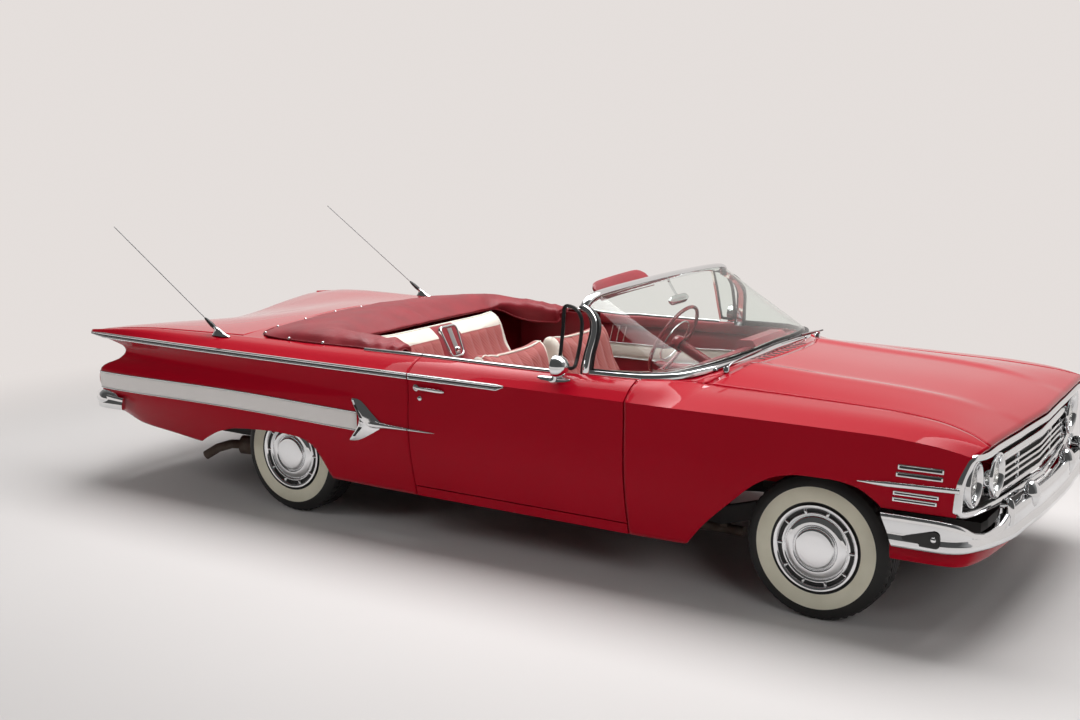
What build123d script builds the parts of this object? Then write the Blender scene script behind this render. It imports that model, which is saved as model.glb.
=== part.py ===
from build123d import *
import math
import os
from bisect import bisect_right

# A full-size two-door convertible of about 1960 with its top down, as separate panels and pieces.
# Millimetres. X runs forward, Y to the car's left and Z up. Tables are written in body stations:
# x from the body datum, half width from the centre plane and height above the ground. At the end
# every piece moves by ORIGIN_X, so that the origin lies on the ground midway along the car.

# Running gear sizes
WHEELBASE = 3023
FRONT_AXLE_X = 1819.5
REAR_AXLE_X = FRONT_AXLE_X - WHEELBASE
TRACK_FRONT = 1532
TRACK_REAR = 1506
TYRE_RADIUS = 328
TYRE_WIDTH = 204
RIM_RADIUS = 178
KINGPIN_INSET = 94
AXLE_Z = TYRE_RADIUS

# Body sizes
FRONT_END_X = 2622
REAR_END_X = -2732
ORIGIN_X = -(FRONT_END_X + REAR_END_X) / 2
PANEL_GAP = 6
SEAT_GAP = 0.3
FENDER_SKIN = 16
QUARTER_SKIN = 20
LID_SKIN = 20
CROWN_RISE = 14
CORNER_SHARE = 0.45
DOOR_FRONT_X = 943
DOOR_REAR_X = -262
DOOR_BOTTOM_Z = 318
DOOR_INNER_W = 872
SILL_INNER_W = 852
FLOOR_Z = 292
FLOOR_SHEET = 12
FLOOR_HALF_W = SILL_INNER_W - SEAT_GAP
FIREWALL_X = 1222
FENDER_LOW_Z = 592
LID_FRONT_X = -1506
TAIL_X = -2566
# Half widths that follow the tracks: frame rails at the axles, inner arches, aprons and front hubs.
FRONT_RAIL_W = TRACK_FRONT / 2 - 366
REAR_RAIL_W = TRACK_REAR / 2 - 213
REAR_HOUSE_W = TRACK_REAR / 2 - 149
HOUSE_REACH_W = 1004
FRONT_APRON_W = FRONT_RAIL_W + 74
FRONT_HUB_W = TRACK_FRONT / 2 - 50

# Body lines of one side. Each row is a station x, the half width there and the height.
EDGE_LINE = [(-2612, 985, 889), (-2450, 1000, 892), (-2150, 1014, 893), (-1600, 1024, 893),
             (-900, 1022, 893), (-260, 1013, 893), (300, 1007, 894), (950, 1001, 894),
             (1600, 995, 894), (2100, 985, 891), (2330, 973, 875), (2460, 952, 848), (2560, 918, 806)]
COVE_LINE = [(-2612, 880, 800), (-2450, 905, 796), (-2150, 945, 796), (-1600, 984, 798),
             (-900, 1003, 800), (-260, 1006, 802), (300, 1003, 804), (950, 998, 804),
             (1600, 992, 804), (2100, 982, 802), (2330, 970, 794), (2460, 960, 772), (2560, 930, 742)]
POD_TOP_LINE = [(-2612, 975, 706), (-2450, 993, 706), (-2150, 1012, 702), (-1600, 1024, 698),
                (-900, 1022, 692), (-260, 1014, 690), (300, 1009, 690), (950, 1002, 690),
                (1600, 996, 690), (2100, 988, 690), (2330, 978, 688), (2460, 970, 682), (2560, 944, 675)]
POD_LOW_LINE = [(-2612, 968, 560), (-2450, 988, 558), (-2150, 1006, 556), (-1600, 1018, 552),
                (-900, 1018, 548), (-260, 1010, 546), (300, 1004, 546), (950, 998, 546),
                (1600, 990, 546), (2100, 980, 548), (2330, 970, 550), (2460, 960, 552), (2560, 934, 555)]
TUCK_LINE = [(-2612, 930, 470), (-2450, 942, 460), (-2150, 965, 440), (-1600, 984, 420),
             (-900, 988, 410), (-260, 984, 405), (300, 979, 405), (950, 974, 405),
             (1600, 968, 412), (2100, 956, 440), (2330, 944, 450), (2460, 924, 452), (2560, 888, 455)]
SILL_LINE = [(-2612, 885, 440), (-2476, 900, 423), (-2264, 928, 378), (-1973, 946, 357),
             (-1805, 952, 342), (-1400, 952, 300), (-814, 952, 268), (-260, 946, 262),
             (300, 941, 262), (950, 936, 262), (1250, 934, 266), (1700, 930, 310),
             (2180, 922, 362), (2430, 896, 380), (2560, 858, 392)]
# Top inner edges of the panels, in the same columns.
FENDER_TOP = [(951, 876, 974), (1060, 822, 976), (1150, 732, 965), (1215, 704, 953), (1584, 707, 948),
              (2076, 717, 938), (2275, 742, 925), (2425, 795, 903), (2560, 872, 862)]
BELT_LINE = [(-262, 880, 965), (300, 885, 966), (678, 885, 970), (943, 880, 973)]
QUARTER_TOP = [(-2612, 962, 896), (-2480, 964, 916), (-2319, 956, 935), (-2093, 932, 946),
               (-1733, 899, 950), (-1560, 882, 952), (-1400, 876, 954), (-900, 875, 957), (-267, 880, 965)]
# Centre heights of the lids: station x and height.
HOOD_CENTRE = [(1170, 1017), (1330, 1009), (1600, 993), (2000, 973), (2250, 949), (2420, 913),
               (2520, 881), (2562, 860)]
LID_CENTRE = [(-2640, 812), (-2450, 852), (-2250, 892), (-2000, 934), (-1750, 972), (-1500, 996)]

# Wheel openings: distance ahead of the axle and height, from behind the wheel to ahead of it.
FRONT_ARCH = [(-586, 258), (-480, 382), (-328, 525), (-230, 609), (-130, 659), (-30, 678), (100, 680),
              (203, 666), (297, 615), (350, 560), (372, 480), (378, 330)]
REAR_ARCH = [(-602, 320), (-506, 375), (-388, 429), (-269, 460), (-139, 474), (50, 482), (192, 476),
             (288, 440), (332, 377), (389, 258)]

# Windshield ribs, from the post to the centre: x, half width and height of the base, then of the top.
WINDSHIELD_RIBS = [(684, 850, 978, 596, 768, 1262), (842, 846, 980, 604, 740, 1292),
                   (975, 830, 984, 613, 698, 1312), (1089, 756, 990, 620, 638, 1322),
                   (1155, 638, 999, 626, 538, 1328), (1205, 488, 1009, 632, 398, 1333),
                   (1240, 258, 1020, 637, 208, 1337), (1250, 0, 1028, 640, 0, 1339)]
GLASS = 6
# Cowl strips: half width, then x and height of the edge at the glass and of the edge ahead of it.
COWL_STRIPS = [(0, 1238, 1012, 1328, 1009), (250, 1228, 1006, 1313, 1006), (450, 1200, 997, 1278, 994),
               (600, 1158, 986, 1232, 974), (692, 1120, 978, 1200, 953), (724, 1098, 976, 1148, 964),
               (760, 1074, 974, 1118, 968), (812, 1008, 972, 1056, 972), (838, 960, 970, 1006, 972)]
COWL_SHEET = 25

os.makedirs("parts", exist_ok=True)


# Shape helpers
def line_at(line, x):
    """The columns after x of a body line at station x, by a monotone cubic through its rows."""
    stations = [row[0] for row in line]
    x = min(max(x, stations[0]), stations[-1])
    i = min(max(bisect_right(stations, x) - 1, 0), len(line) - 2)
    step = stations[i + 1] - stations[i]
    t = (x - stations[i]) / step
    values = []
    for column in range(1, len(line[0])):
        def slope(k):
            rises = [(line[j + 1][column] - line[j][column]) / (stations[j + 1] - stations[j])
                     for j in (k - 1, k) if 0 <= j < len(line) - 1]
            if len(rises) == 1:
                return rises[0]
            return 0 if rises[0] * rises[1] <= 0 else 2 * rises[0] * rises[1] / (rises[0] + rises[1])
        a, b = line[i][column], line[i + 1][column]
        curve = (1 + 2 * t) * (1 - t) ** 2 * a + t * t * (3 - 2 * t) * b
        values.append(curve + step * t * (1 - t) * ((1 - t) * slope(i) - t * slope(i + 1)))
    return tuple(values)


def chain(corners, place, sharp=()):
    """Edges through flat corners, each inner corner turned by a tangent arc unless it is sharp."""
    edges = []
    start = Vector(*corners[0])
    for i in range(1, len(corners) - 1):
        a, b, c = (Vector(*corners[k]) for k in (i - 1, i, i + 1))
        if i in sharp:
            edges.append((start, b, None))
            start = b
            continue
        cut = CORNER_SHARE * min((b - a).length, (c - b).length)
        p, q = b + (a - b).normalized() * cut, b + (c - b).normalized() * cut
        edges += [(start, p, None), (p, q, b - a)]
        start = q
    edges.append((start, Vector(*corners[-1]), None))
    made = []
    for p, q, tangent in edges:
        if tangent is None:
            made.append(Edge.make_line(place(p), place(q)))
        else:
            made.append(Edge.make_tangent_arc(place(p), place(p + tangent) - place(p), place(q)))
    return made


def ring(outer, inner, x, sharp=()):
    """Closed wire at station x between an outer chain and an inner chain, both of (half width, height)."""
    def place(v):
        return Vector(x, v.X, v.Y)
    ends = [Edge.make_line(place(Vector(*outer[-1])), place(Vector(*inner[-1]))),
            Edge.make_line(place(Vector(*inner[0])), place(Vector(*outer[0])))]
    back = chain(inner[::-1], place, [len(inner) - 1 - i for i in sharp])
    return Wire(chain(outer, place, sharp) + [ends[0]] + back + [ends[1]])


def polygon(points):
    return Wire.make_polygon([Vector(*p) for p in points])


def block(x, y, z):
    """A box from the low and high ends along each axis."""
    corner = Pos(x[0], y[0], z[0])
    return corner * Solid.make_box(x[1] - x[0], y[1] - y[0], z[1] - z[0])


def across(outline, y0, y1):
    """A prism between two distances from the centre plane, over an outline of (x, height)."""
    face = Face(polygon([(x, y0, z) for x, z in outline]))
    return Solid.extrude(face, Vector(0, y1 - y0, 0))


def upright(outline, z0, z1):
    """A prism between two heights, over an outline of (x, distance from the centre plane)."""
    face = Face(polygon([(x, y, z0) for x, y in outline]))
    return Solid.extrude(face, Vector(0, 0, z1 - z0))


def bar(path, width, height):
    """A straight-sided bar along a path, with rectangular ends square to the car."""
    wires = []
    for i, p in enumerate(path):
        before, after = Vector(*path[max(i - 1, 0)]), Vector(*path[min(i + 1, len(path) - 1)])
        run = after - before
        side = Vector(-run.Y, run.X, 0).normalized() if math.hypot(run.X, run.Y) > 1 else Vector(1, 0, 0)
        up = run.cross(side).normalized() * -1 if abs(run.Z) > 0.9 * run.length else Vector(0, 0, 1)
        s, u, c = side * (width / 2), up * (height / 2), Vector(*p)
        wires.append(Wire.make_polygon([c - s - u, c + s - u, c + s + u, c - s + u]))
    return Solid.make_loft(wires, True)


def spun(outline, axis_x, axis_z):
    """A turned piece about a line across the car: outline rows are distance out and radius."""
    wire = polygon([(axis_x, y, axis_z + r) for y, r in outline])
    return Solid.revolve(Face(wire), 360, Axis((axis_x, 0, axis_z), (0, 1, 0)))


def rod(start, end, radius):
    """A round rod between two points."""
    a, b = Vector(*start), Vector(*end)
    return Solid.make_cylinder(radius, (b - a).length, Plane(a, z_dir=b - a))


def pipe(points, bends, radius):
    """A round pipe along straight runs joined by bends."""
    path = FilletPolyline(*points, radius=bends)
    start = Plane(path @ 0, z_dir=path % 0)
    return Solid.sweep(Face(Wire.make_circle(radius, start)), path=path)


def mirrored(shape):
    return shape.mirror(Plane.XZ)


def largest(shape):
    return max(shape.solids(), key=lambda s: s.volume)


PIECES = {}


def keep(name, *solids):
    """Stores a piece under its node name."""
    PIECES[name] = list(solids)


def keep_pair(stem, left):
    keep(stem + "_left", left)
    keep(stem + "_right", mirrored(left))


# Body side: corners from a panel's top inner edge, over the sharp edge, down to the sill
EDGE_CORNER = 2


def side_corners(x, top_line):
    top, edge = line_at(top_line, x), line_at(EDGE_LINE, x)
    crown = ((top[0] + edge[0]) / 2, (top[1] + edge[1]) / 2 + CROWN_RISE)
    lower = [line_at(line, x) for line in (COVE_LINE, POD_TOP_LINE, POD_LOW_LINE, TUCK_LINE, SILL_LINE)]
    return [top, crown, edge, *lower]


def side_skin(stations, top_line, skin):
    """A panel of the body side, lofted through its stations, thinner towards the fin's tip."""
    wires = []
    for x in stations:
        outer = side_corners(x, top_line)
        t = skin * min(1, 0.45 + 0.55 * (x - EDGE_LINE[0][0]) / 500)
        top, crown, edge, *lower = outer
        inner = [(top[0], top[1] - t), (crown[0] - 0.15 * t, crown[1] - t), (edge[0] - 2 * t, edge[1] - 0.55 * t)]
        inner += [(w - t, z) for w, z in lower]
        wires.append(ring(outer, inner, x, (EDGE_CORNER,)))
    return Solid.make_loft(wires, True)


def arch_cut(arch, axle_x, low_z, y0, y1):
    """Room below a wheel opening, from the inner side of a panel to beyond its skin."""
    curve = [(axle_x + dx, z) for dx, z in arch]
    return across([(curve[0][0], low_z), *curve, (curve[-1][0], low_z)], y0, y1)


FENDER_STATIONS = (951, 1050, 1140, 1215, 1500, 1850, 2150, 2330, 2440, 2560)
QUARTER_STATIONS = (-2612, -2540, -2400, -2150, -1800, LID_FRONT_X, -1000, -600, DOOR_REAR_X - PANEL_GAP)
DOOR_STATIONS = (DOOR_REAR_X, 0, 300, 640, DOOR_FRONT_X)
ARCH_CUT_W = (700, 1100)
CUT_LOW_Z = 150


def fender():
    """Front fender: over the wheel, swept back in plan round the lamps."""
    skin = side_skin(FENDER_STATIONS, FENDER_TOP, FENDER_SKIN)
    skin -= arch_cut(FRONT_ARCH, FRONT_AXLE_X, CUT_LOW_Z, *ARCH_CUT_W)
    nose = [(2560, 600), (2540, 800), (2528, 862), (2500, 922), (2462, 962), (2438, 1040), (2700, 1040), (2700, 600)]
    skin -= upright(nose, 300, 1000)
    return largest(skin - block((FRONT_AXLE_X + 320, 2700), (600, 1100), (CUT_LOW_Z, FENDER_LOW_Z)))


TAIL_NOTCH = [(-2700, 872), (-2640, 872), (-2470, 848), (-2405, 826), (-2382, 790), (-2405, 754),
              (-2470, 728), (-2530, 700), (-2560, 660), (-2570, 610), (-2562, 560), (-2545, 536), (-2530, 430),
              (-2520, 300), (-2700, 300)]


def quarter():
    """Rear quarter with its wing, long pod and concave flank, cut round the wheel and the tail."""
    skin = side_skin(QUARTER_STATIONS, QUARTER_TOP, QUARTER_SKIN)
    skin -= arch_cut(REAR_ARCH, REAR_AXLE_X, CUT_LOW_Z, *ARCH_CUT_W)
    skin = largest(skin - across(TAIL_NOTCH, 700, 1100))
    stop_w = line_at(POD_TOP_LINE, DOOR_REAR_X)[0] - QUARTER_SKIN / 2
    stop = block((DOOR_REAR_X - PANEL_GAP - 1, DOOR_REAR_X - SEAT_GAP), (stop_w - 6, stop_w + 2), (640, 690))
    return skin.fuse(stop)


def door():
    """Door as thick as it is, with a plain inner face below the window slot."""
    wires = []
    for x in DOOR_STATIONS:
        outer = side_corners(x, BELT_LINE)
        tuck, sill = outer[-2], outer[-1]
        share = (tuck[1] - DOOR_BOTTOM_Z) / (tuck[1] - sill[1])
        outer[-1] = (tuck[0] + (sill[0] - tuck[0]) * share, DOOR_BOTTOM_Z)

        def place(v, x=x):
            return Vector(x, v.X, v.Y)
        inner = [(DOOR_INNER_W, DOOR_BOTTOM_Z), (DOOR_INNER_W, outer[0][1] - 8)]
        rim = [Edge.make_line(place(Vector(*a)), place(Vector(*b)))
               for a, b in ((outer[-1], inner[0]), (inner[0], inner[1]), (inner[1], outer[0]))]
        wires.append(Wire(chain(outer, place, (EDGE_CORNER,)) + rim))
    relief = [(DOOR_REAR_X - 9, 860), (DOOR_REAR_X + 6, 860), (DOOR_REAR_X, 985), (DOOR_REAR_X - 9, 985)]
    return Solid.make_loft(wires, True) - upright(relief, 200, 1100)


def rocker():
    """Sill beam under the door."""
    wires = []
    for x in (DOOR_REAR_X, 300, DOOR_FRONT_X):
        tuck, sill = line_at(TUCK_LINE, x), line_at(SILL_LINE, x)
        top = DOOR_BOTTOM_Z - PANEL_GAP
        share = (tuck[1] - top) / (tuck[1] - sill[1])
        out = tuck[0] + (sill[0] - tuck[0]) * share
        wires.append(polygon([(x, out, top), (x, sill[0], sill[1]), (x, SILL_INNER_W, sill[1]),
                              (x, SILL_INNER_W, top)]))
    return Solid.make_loft(wires, True)


# Lids: the hood and the trunk lid are crowned sheets, lofted along the car and trimmed in plan
def sheet_loft(rows, skin):
    """A crowned sheet: rows of a station and its corners from the left edge to the centre."""
    wires = []
    for x, half in rows:
        full = half + [(-w, z) for w, z in half[-2::-1]]
        lower = [(w, z - skin) for w, z in full]
        wires.append(ring(full, lower, x))
    return Solid.make_loft(wires, True)


HOOD_RIDGE_W = 400


def hood_half(x):
    """Corners of the hood from its side edge to the centre: two long ridges with a shallow tray between."""
    w, z = line_at(FENDER_TOP, max(x, 1215))
    centre = line_at(HOOD_CENTRE, x)[0]
    w -= PANEL_GAP
    ridge = max(0, min(1, (2480 - x) / 300))
    shoulder = z + 0.66 * (centre - z)
    return [(w, z), (0.8 * w, shoulder), (HOOD_RIDGE_W, centre + 8 * ridge - 2),
            (HOOD_RIDGE_W - 62, centre - 4 * ridge + 1), (0, centre + 4)]


def hood():
    sheet = sheet_loft([(x, hood_half(x)) for x in (1170, *FENDER_STATIONS[3:])], LID_SKIN)
    corner = (1204, 720)
    rear = Wire([Edge.make_three_point_arc((corner[0], -corner[1], 700), (1334, 0, 700), (*corner, 700)),
                 Edge.make_line((*corner, 700), (1000, corner[1], 700)),
                 Edge.make_line((1000, corner[1], 700), (1000, -corner[1], 700)),
                 Edge.make_line((1000, -corner[1], 700), (corner[0], -corner[1], 700))])
    sheet -= Solid.extrude(Face(rear), Vector(0, 0, 500))
    nose = [(2559, 0), (2526, 890), (2700, 890), (2700, -890), (2526, -890)]
    return largest(sheet - upright(nose, 700, 1100))


def lid_half(x):
    """Corners of the trunk lid from the wing down to the valley at the centre."""
    w, z = line_at(QUARTER_TOP, x)
    centre = line_at(LID_CENTRE, x)[0]
    rise = z - centre
    return [(w - PANEL_GAP, z + 1), (0.86 * w, z + 4 - 0.05 * rise), (0.55 * w, centre + 0.62 * rise + 4),
            (0.25 * w, centre + 0.16 * rise + 2), (0, centre)]


def trunk_lid():
    sheet = sheet_loft([(x, lid_half(x)) for x in QUARTER_STATIONS[:6]], LID_SKIN)
    tail = [(-2452, 0), (-2588, 985), (-2700, 985), (-2700, -985), (-2588, -985)]
    return largest(sheet - upright(tail, 700, 1100))


def deck_filler():
    """Fixed panel between the boot and the trunk lid."""
    rows = []
    for x in (LID_FRONT_X + PANEL_GAP, -1430, -1340):
        w, z = line_at(QUARTER_TOP, x)
        centre = line_at(LID_CENTRE, x)[0]
        rows.append((x, [(w - SEAT_GAP, z), (0.7 * w, z + 0.55 * (centre - z)), (0.3 * w, centre - 4), (0, centre)]))
    return sheet_loft(rows, LID_SKIN)


def cowl():
    """Panel between the hood and the glass, running out to the fenders, with the inner posts of the doors."""
    strips = [(-w, *rest) for w, *rest in COWL_STRIPS[:0:-1]] + COWL_STRIPS
    wires = [polygon([(xb, w, zb), (xf, w, zf), (xf, w, zf - COWL_SHEET), (xb, w, zb - COWL_SHEET)])
             for w, xb, zb, xf, zf in strips]
    panel = Solid.make_loft(wires, True)
    side = block((668, 1010), (SILL_INNER_W - 14, SILL_INNER_W + 10), (880, 966))
    return panel.fuse(side, mirrored(side))


def floor():
    """Floor sheet from the firewall to the trunk, stepped over the rear axle, with its tunnel and posts."""
    axle = REAR_AXLE_X
    top = [(FIREWALL_X, 992), (FIREWALL_X, 520), (1010, FLOOR_Z), (-520, FLOOR_Z), (-600, 430), (axle + 330, 470),
           (axle + 250, 560), (axle - 250, 560), (axle - 330, 430), (-2482, 430), (-2482, 505)]
    under = [(-2493.7, 505), (-2493.7, 418), (axle - 318, 418), (axle - 238, 548), (axle + 238, 548),
             (axle + 318, 458), (-610, 418), (-530, FLOOR_Z - FLOOR_SHEET), (1016, FLOOR_Z - FLOOR_SHEET),
             (FIREWALL_X + FLOOR_SHEET, 512), (FIREWALL_X + FLOOR_SHEET, 992)]
    sheet = across(top + under, -FLOOR_HALF_W, FLOOR_HALF_W)
    wheel = block((axle - 398, axle + 398), (REAR_HOUSE_W - SEAT_GAP, 900), (300, 700))
    front = block((FIREWALL_X - 60, FIREWALL_X + 60), (760, 900), (300, 1000))
    brow = block((FIREWALL_X - 60, FIREWALL_X + 60), (590, 900), (924, 1000))
    sheet -= [wheel, mirrored(wheel), front, mirrored(front), brow, mirrored(brow)]
    tunnel = across([(1090, 300), (1060, 470), (760, 430), (-500, 400), (-580, 430), (-530, 300)], -130, 130)
    post = block((DOOR_FRONT_X + 12, FIREWALL_X), (SILL_INNER_W - 16, FLOOR_HALF_W), (FLOOR_Z, 880))
    return largest(sheet.fuse(tunnel, post, mirrored(post)))


def wheelhouse(axle_x, radius, w0, w1, low_z):
    """Half-round inner arch over a wheel, with its inner wall."""
    axis = Plane((axle_x, w0, AXLE_Z), x_dir=(1, 0, 0), z_dir=(0, 1, 0))
    shell = Solid.make_cylinder(radius, w1 - w0, axis)
    hollow = Solid.make_cylinder(radius - 8, w1 - w0 - 8, axis.offset(8))
    return shell - hollow - block((axle_x - 600, axle_x + 600), (w0 - 1, w1 + 1), (-200, low_z))


def tail_panel(lid):
    """Concave tail under the lid's lip, the lamp band below it and two rubber stops for the lid."""
    outer = [(-2448, 810), (-2404, 800), (-2388, 776), (-2430, 736), (-2520, 712), (TAIL_X, 660), (TAIL_X, 590),
             (-2530, 540), (-2512, 505)]
    inner = [(-2494, 505), (-2512, 548), (TAIL_X + 18, 596), (TAIL_X + 18, 654), (-2510, 694),
             (-2420, 720), (-2372, 770), (-2384, 818), (-2448, 828)]
    panel = across(outer + inner, -930, 930)
    side = block((-2700, -2300), (880, 940), (706, 900))
    panel -= [side, mirrored(side)]
    stop = largest(rod((-2424, 500, 814), (-2424, 500, 892), 12) - Pos(0, 0, -SEAT_GAP) * lid)
    return panel.fuse(stop, mirrored(stop))


# Bumpers follow a plan curve with one section each, wrapped round the corners
BUMPER_FACE = [(-62, -52), (-16, -66), (0, -40), (0, 26), (-22, 56), (-62, 50)]
# Rows: half width, x of the face, height of the middle and share of the full section height.
FRONT_BUMPER = [(0, FRONT_END_X, 500, 0.86), (330, FRONT_END_X - 8, 500, 0.9), (620, FRONT_END_X - 26, 502, 1.0),
                (820, FRONT_END_X - 62, 506, 1.08), (930, FRONT_END_X - 116, 510, 1.12)]
REAR_BUMPER = [(0, -REAR_END_X, 478, 1.0), (400, -REAR_END_X - 10, 480, 1.0), (700, -REAR_END_X - 34, 484, 1.0),
               (900, -REAR_END_X - 82, 490, 0.96)]
# Height and thickness of the ends wrapped along the sides.
FRONT_WRAP = (136, 34)
REAR_WRAP = (80, 24)
FRAME_FRONT_TOP = 440
FRAME_REAR_TOP = 400
RAIL = (76, 88)
# How far the flat pad under the frame's middle stands below the rails.
PAD_DROP = 4
# Radius and spacing of the towing bolt holes in the end crossmembers.
TOW_HOLES = (6.5, 300)


def bumper(rows, heading, wrap, wrap_size):
    """A bumper bar across the car, facing heading, with an end wrapped along each side."""
    wires = []
    for w, x, z, share in [(-w, *rest) for w, *rest in rows[:0:-1]] + rows:
        wires.append(polygon([(heading * (x + dx), w, z + dz * share) for dx, dz in BUMPER_FACE]))
    face = Solid.make_loft(wires, True)
    height, thick = wrap_size
    end = bar([(heading * x, w, z) for x, w, z in wrap], thick, height)
    return face.fuse(end, mirrored(end))


def front_bumper():
    wrap = [(2506, 905, 512), (2480, 962, 512), (2400, 994, 512), (2210, 1003, 512)]
    bumperette = Pos(FRONT_END_X - 45, 330, 560) * Solid.make_sphere(44)
    horn = bar([(FRONT_END_X - 52, 640, 540), (FRONT_END_X - 60, 640, 612)], 30, 60)
    guards = [bumperette, mirrored(bumperette), horn, mirrored(horn)]
    arm = block((2300, FRONT_END_X - 50), (FRONT_RAIL_W + 20, FRONT_RAIL_W + 70), (FRAME_FRONT_TOP + SEAT_GAP, 500))
    return bumper(FRONT_BUMPER, 1, wrap, FRONT_WRAP).fuse(*guards, arm, mirrored(arm))


def rear_bumper():
    wrap = [(2640, 890, 488), (2590, 960, 488), (2500, 1000, 490), (2340, 1009, 492)]
    arm = block((-2690, -2495), (REAR_RAIL_W - 60, REAR_RAIL_W - 10), (FRAME_REAR_TOP + SEAT_GAP, 470))
    return bumper(REAR_BUMPER, -1, wrap, REAR_WRAP).fuse(arm, mirrored(arm))


# Front face: chrome surround, horizontal bars and four lamps
LAMPS = [(2472, 860), (2508, 668)]
LAMP_Z = 712
LAMP_RADIUS = 72
GRILLE_BARS = [(812, 34, 28), (760, 14, 12), (716, 12, 12), (672, 12, 12), (628, 12, 12), (580, 26, 26)]


def grille_x(w):
    """Front of the grille in plan: a shallow V swept back to the fenders."""
    return 2556 - 0.052 * w - (0.0012 * (w - 760) ** 2 if w > 760 else 0)


def grille():
    """Surround, bars and uprights of the grille as one casting, with the lamp cups, on a back panel."""
    pieces = []
    for z, height, depth in GRILLE_BARS:
        reach = 838 if height > 20 else 560
        half = [(w, grille_x(w)) for w in (0, reach * 0.5, reach * 0.85, reach)]
        path = [(x - 20, -w, z) for w, x in half[:0:-1]] + [(x - 20, w, z) for w, x in half]
        pieces.append(bar(path, depth, height))
    for w in (0, 280, 556):
        post = block((grille_x(w) - 34, grille_x(w) - 14), (w - 8, w + 8), (580, 812))
        pieces += [post, mirrored(post)] if w else [post]
    panel = block((2470, 2484), (-560, 560), (570, 806))
    for x, w in LAMPS:
        cup = rod((x - 80, w, LAMP_Z), (x, w, LAMP_Z), LAMP_RADIUS + 11)
        cup -= rod((x - 60, w, LAMP_Z), (x + 1, w, LAMP_Z), LAMP_RADIUS)
        tie = block((x - 68, x - 60), (w - 20, w + 20), (580, 812))
        pieces += [cup, mirrored(cup), tie, mirrored(tie)]
    tray = upright([(2384, -830), (2500, -560), (2540, 0), (2500, 560), (2384, 830), (2340, 0)], 560, 574)
    side = [bar([(2446, s * 550, 690), (2396, s * 820, 690)], 14, 236) for s in (-1, 1)]
    return panel.fuse(tray, *side, *pieces)


def lamp(x, w, z, radius, depth, heading):
    """A domed lamp glass: a short cylinder with a bowed face."""
    profile = [(0, 0), (depth, 0), (depth - radius * 0.06, radius * 0.6), (depth - radius * 0.2, radius), (0, radius)]
    wire = polygon([(x + heading * d, w, z + r) for d, r in profile])
    return Solid.revolve(Face(wire), 360, Axis((x, w, z), (1, 0, 0)))


TAIL_LAMPS = [(560, 54), (710, 54), (860, 54)]
TAIL_LAMP_Z = 625


# Windshield: wrapped glass lofted through its ribs, in a bright frame
def ribs():
    return [(xb, -wb, zb, xt, -wt, zt) for xb, wb, zb, xt, wt, zt in WINDSHIELD_RIBS[:-1]] + WINDSHIELD_RIBS[::-1]


def windshield_glass():
    rows = ribs()
    wires = []
    for i, (xb, yb, zb, xt, yt, zt) in enumerate(rows):
        before, after = rows[max(i - 1, 0)], rows[min(i + 1, len(rows) - 1)]
        run = Vector(after[0] - before[0], after[1] - before[1], 0).normalized()
        out = Vector(run.Y, -run.X, 0) * (GLASS / 2)
        base, top = Vector(xb, yb, zb), Vector(xt, yt, zt)
        wires.append(Wire.make_polygon([base - out, base + out, top + out, top - out]))
    return Solid.make_loft(wires)


FRAME_BASE = (22, 26)
FRAME_HEAD = (44, 24)
FRAME_POST = 26


def windshield_frame():
    rows = ribs()
    base = bar([(xb, yb, zb) for xb, yb, zb, *_ in rows], *FRAME_BASE)
    head = bar([tuple(row[3:]) for row in rows], *FRAME_HEAD)
    first = WINDSHIELD_RIBS[0]
    wires = []
    for x, w, z in (first[:3], first[3:]):
        s = FRAME_POST / 2
        wires.append(polygon([(x - s, w - s, z), (x + s, w - s, z), (x + s, w + s, z), (x - s, w + s, z)]))
    post = Solid.make_loft(wires, True)
    return base.fuse(head, post, mirrored(post))


VENT_OUTLINE = [(530, 982), (548, 1262), (564, 1254), (610, 1120), (648, 982)]


def vent_outline(inset):
    """Corners of the vent window on its leaning plane, moved in by inset."""
    cx, cz = (sum(p[k] for p in VENT_OUTLINE) / len(VENT_OUTLINE) for k in (0, 1))
    points = []
    for x, z in VENT_OUTLINE:
        run = math.hypot(x - cx, z - cz)
        x, z = x + (cx - x) * inset / run, z + (cz - z) * inset / run
        points.append((x, 862 - 0.287 * (z - 978), z))
    return points


def vent_frame():
    solid = Solid.extrude(Face(polygon(vent_outline(0))), Vector(0, 12, 0))
    solid -= Pos(0, -1, 0) * Solid.extrude(Face(polygon(vent_outline(17))), Vector(0, 14, 0))
    return solid.fuse(block((536, 640), (866, 884), (956, 990)))


def vent_glass():
    return Pos(0, 4, 0) * Solid.extrude(Face(polygon(vent_outline(17.3))), Vector(0, 5, 0))


# Cabin
DASH_W = 826
WHEEL_CENTRE = (485, 380, 934)
COLUMN_TILT = 27
WHEEL_RADIUS = 208


def dashboard():
    """Padded dash with a raised hood over the dials."""
    front = FIREWALL_X - SEAT_GAP
    outline = [(front, 820), (1010, 740), (980, 800), (996, 900), (960, 940), (990, 968), (1060, 974), (front, 998)]
    plan = [(xb - 26, w) for xb, w, *_ in ribs()]
    pad = across(outline, -DASH_W, DASH_W) & upright([(930, plan[-1][1]), (930, plan[0][1]), *plan], 600, 1100)
    pod = across([(1000, 880), (940, 900), (932, 968), (960, 1002), (1030, 1006), (1060, 970)], 190, 590)
    return pad.fuse(pod)


def column_point(distance):
    """A point along the steering column, measured forward from the wheel's centre."""
    t = math.radians(COLUMN_TILT)
    x, y, z = WHEEL_CENTRE
    return (x + distance * math.cos(t), y, z - distance * math.sin(t))


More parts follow.
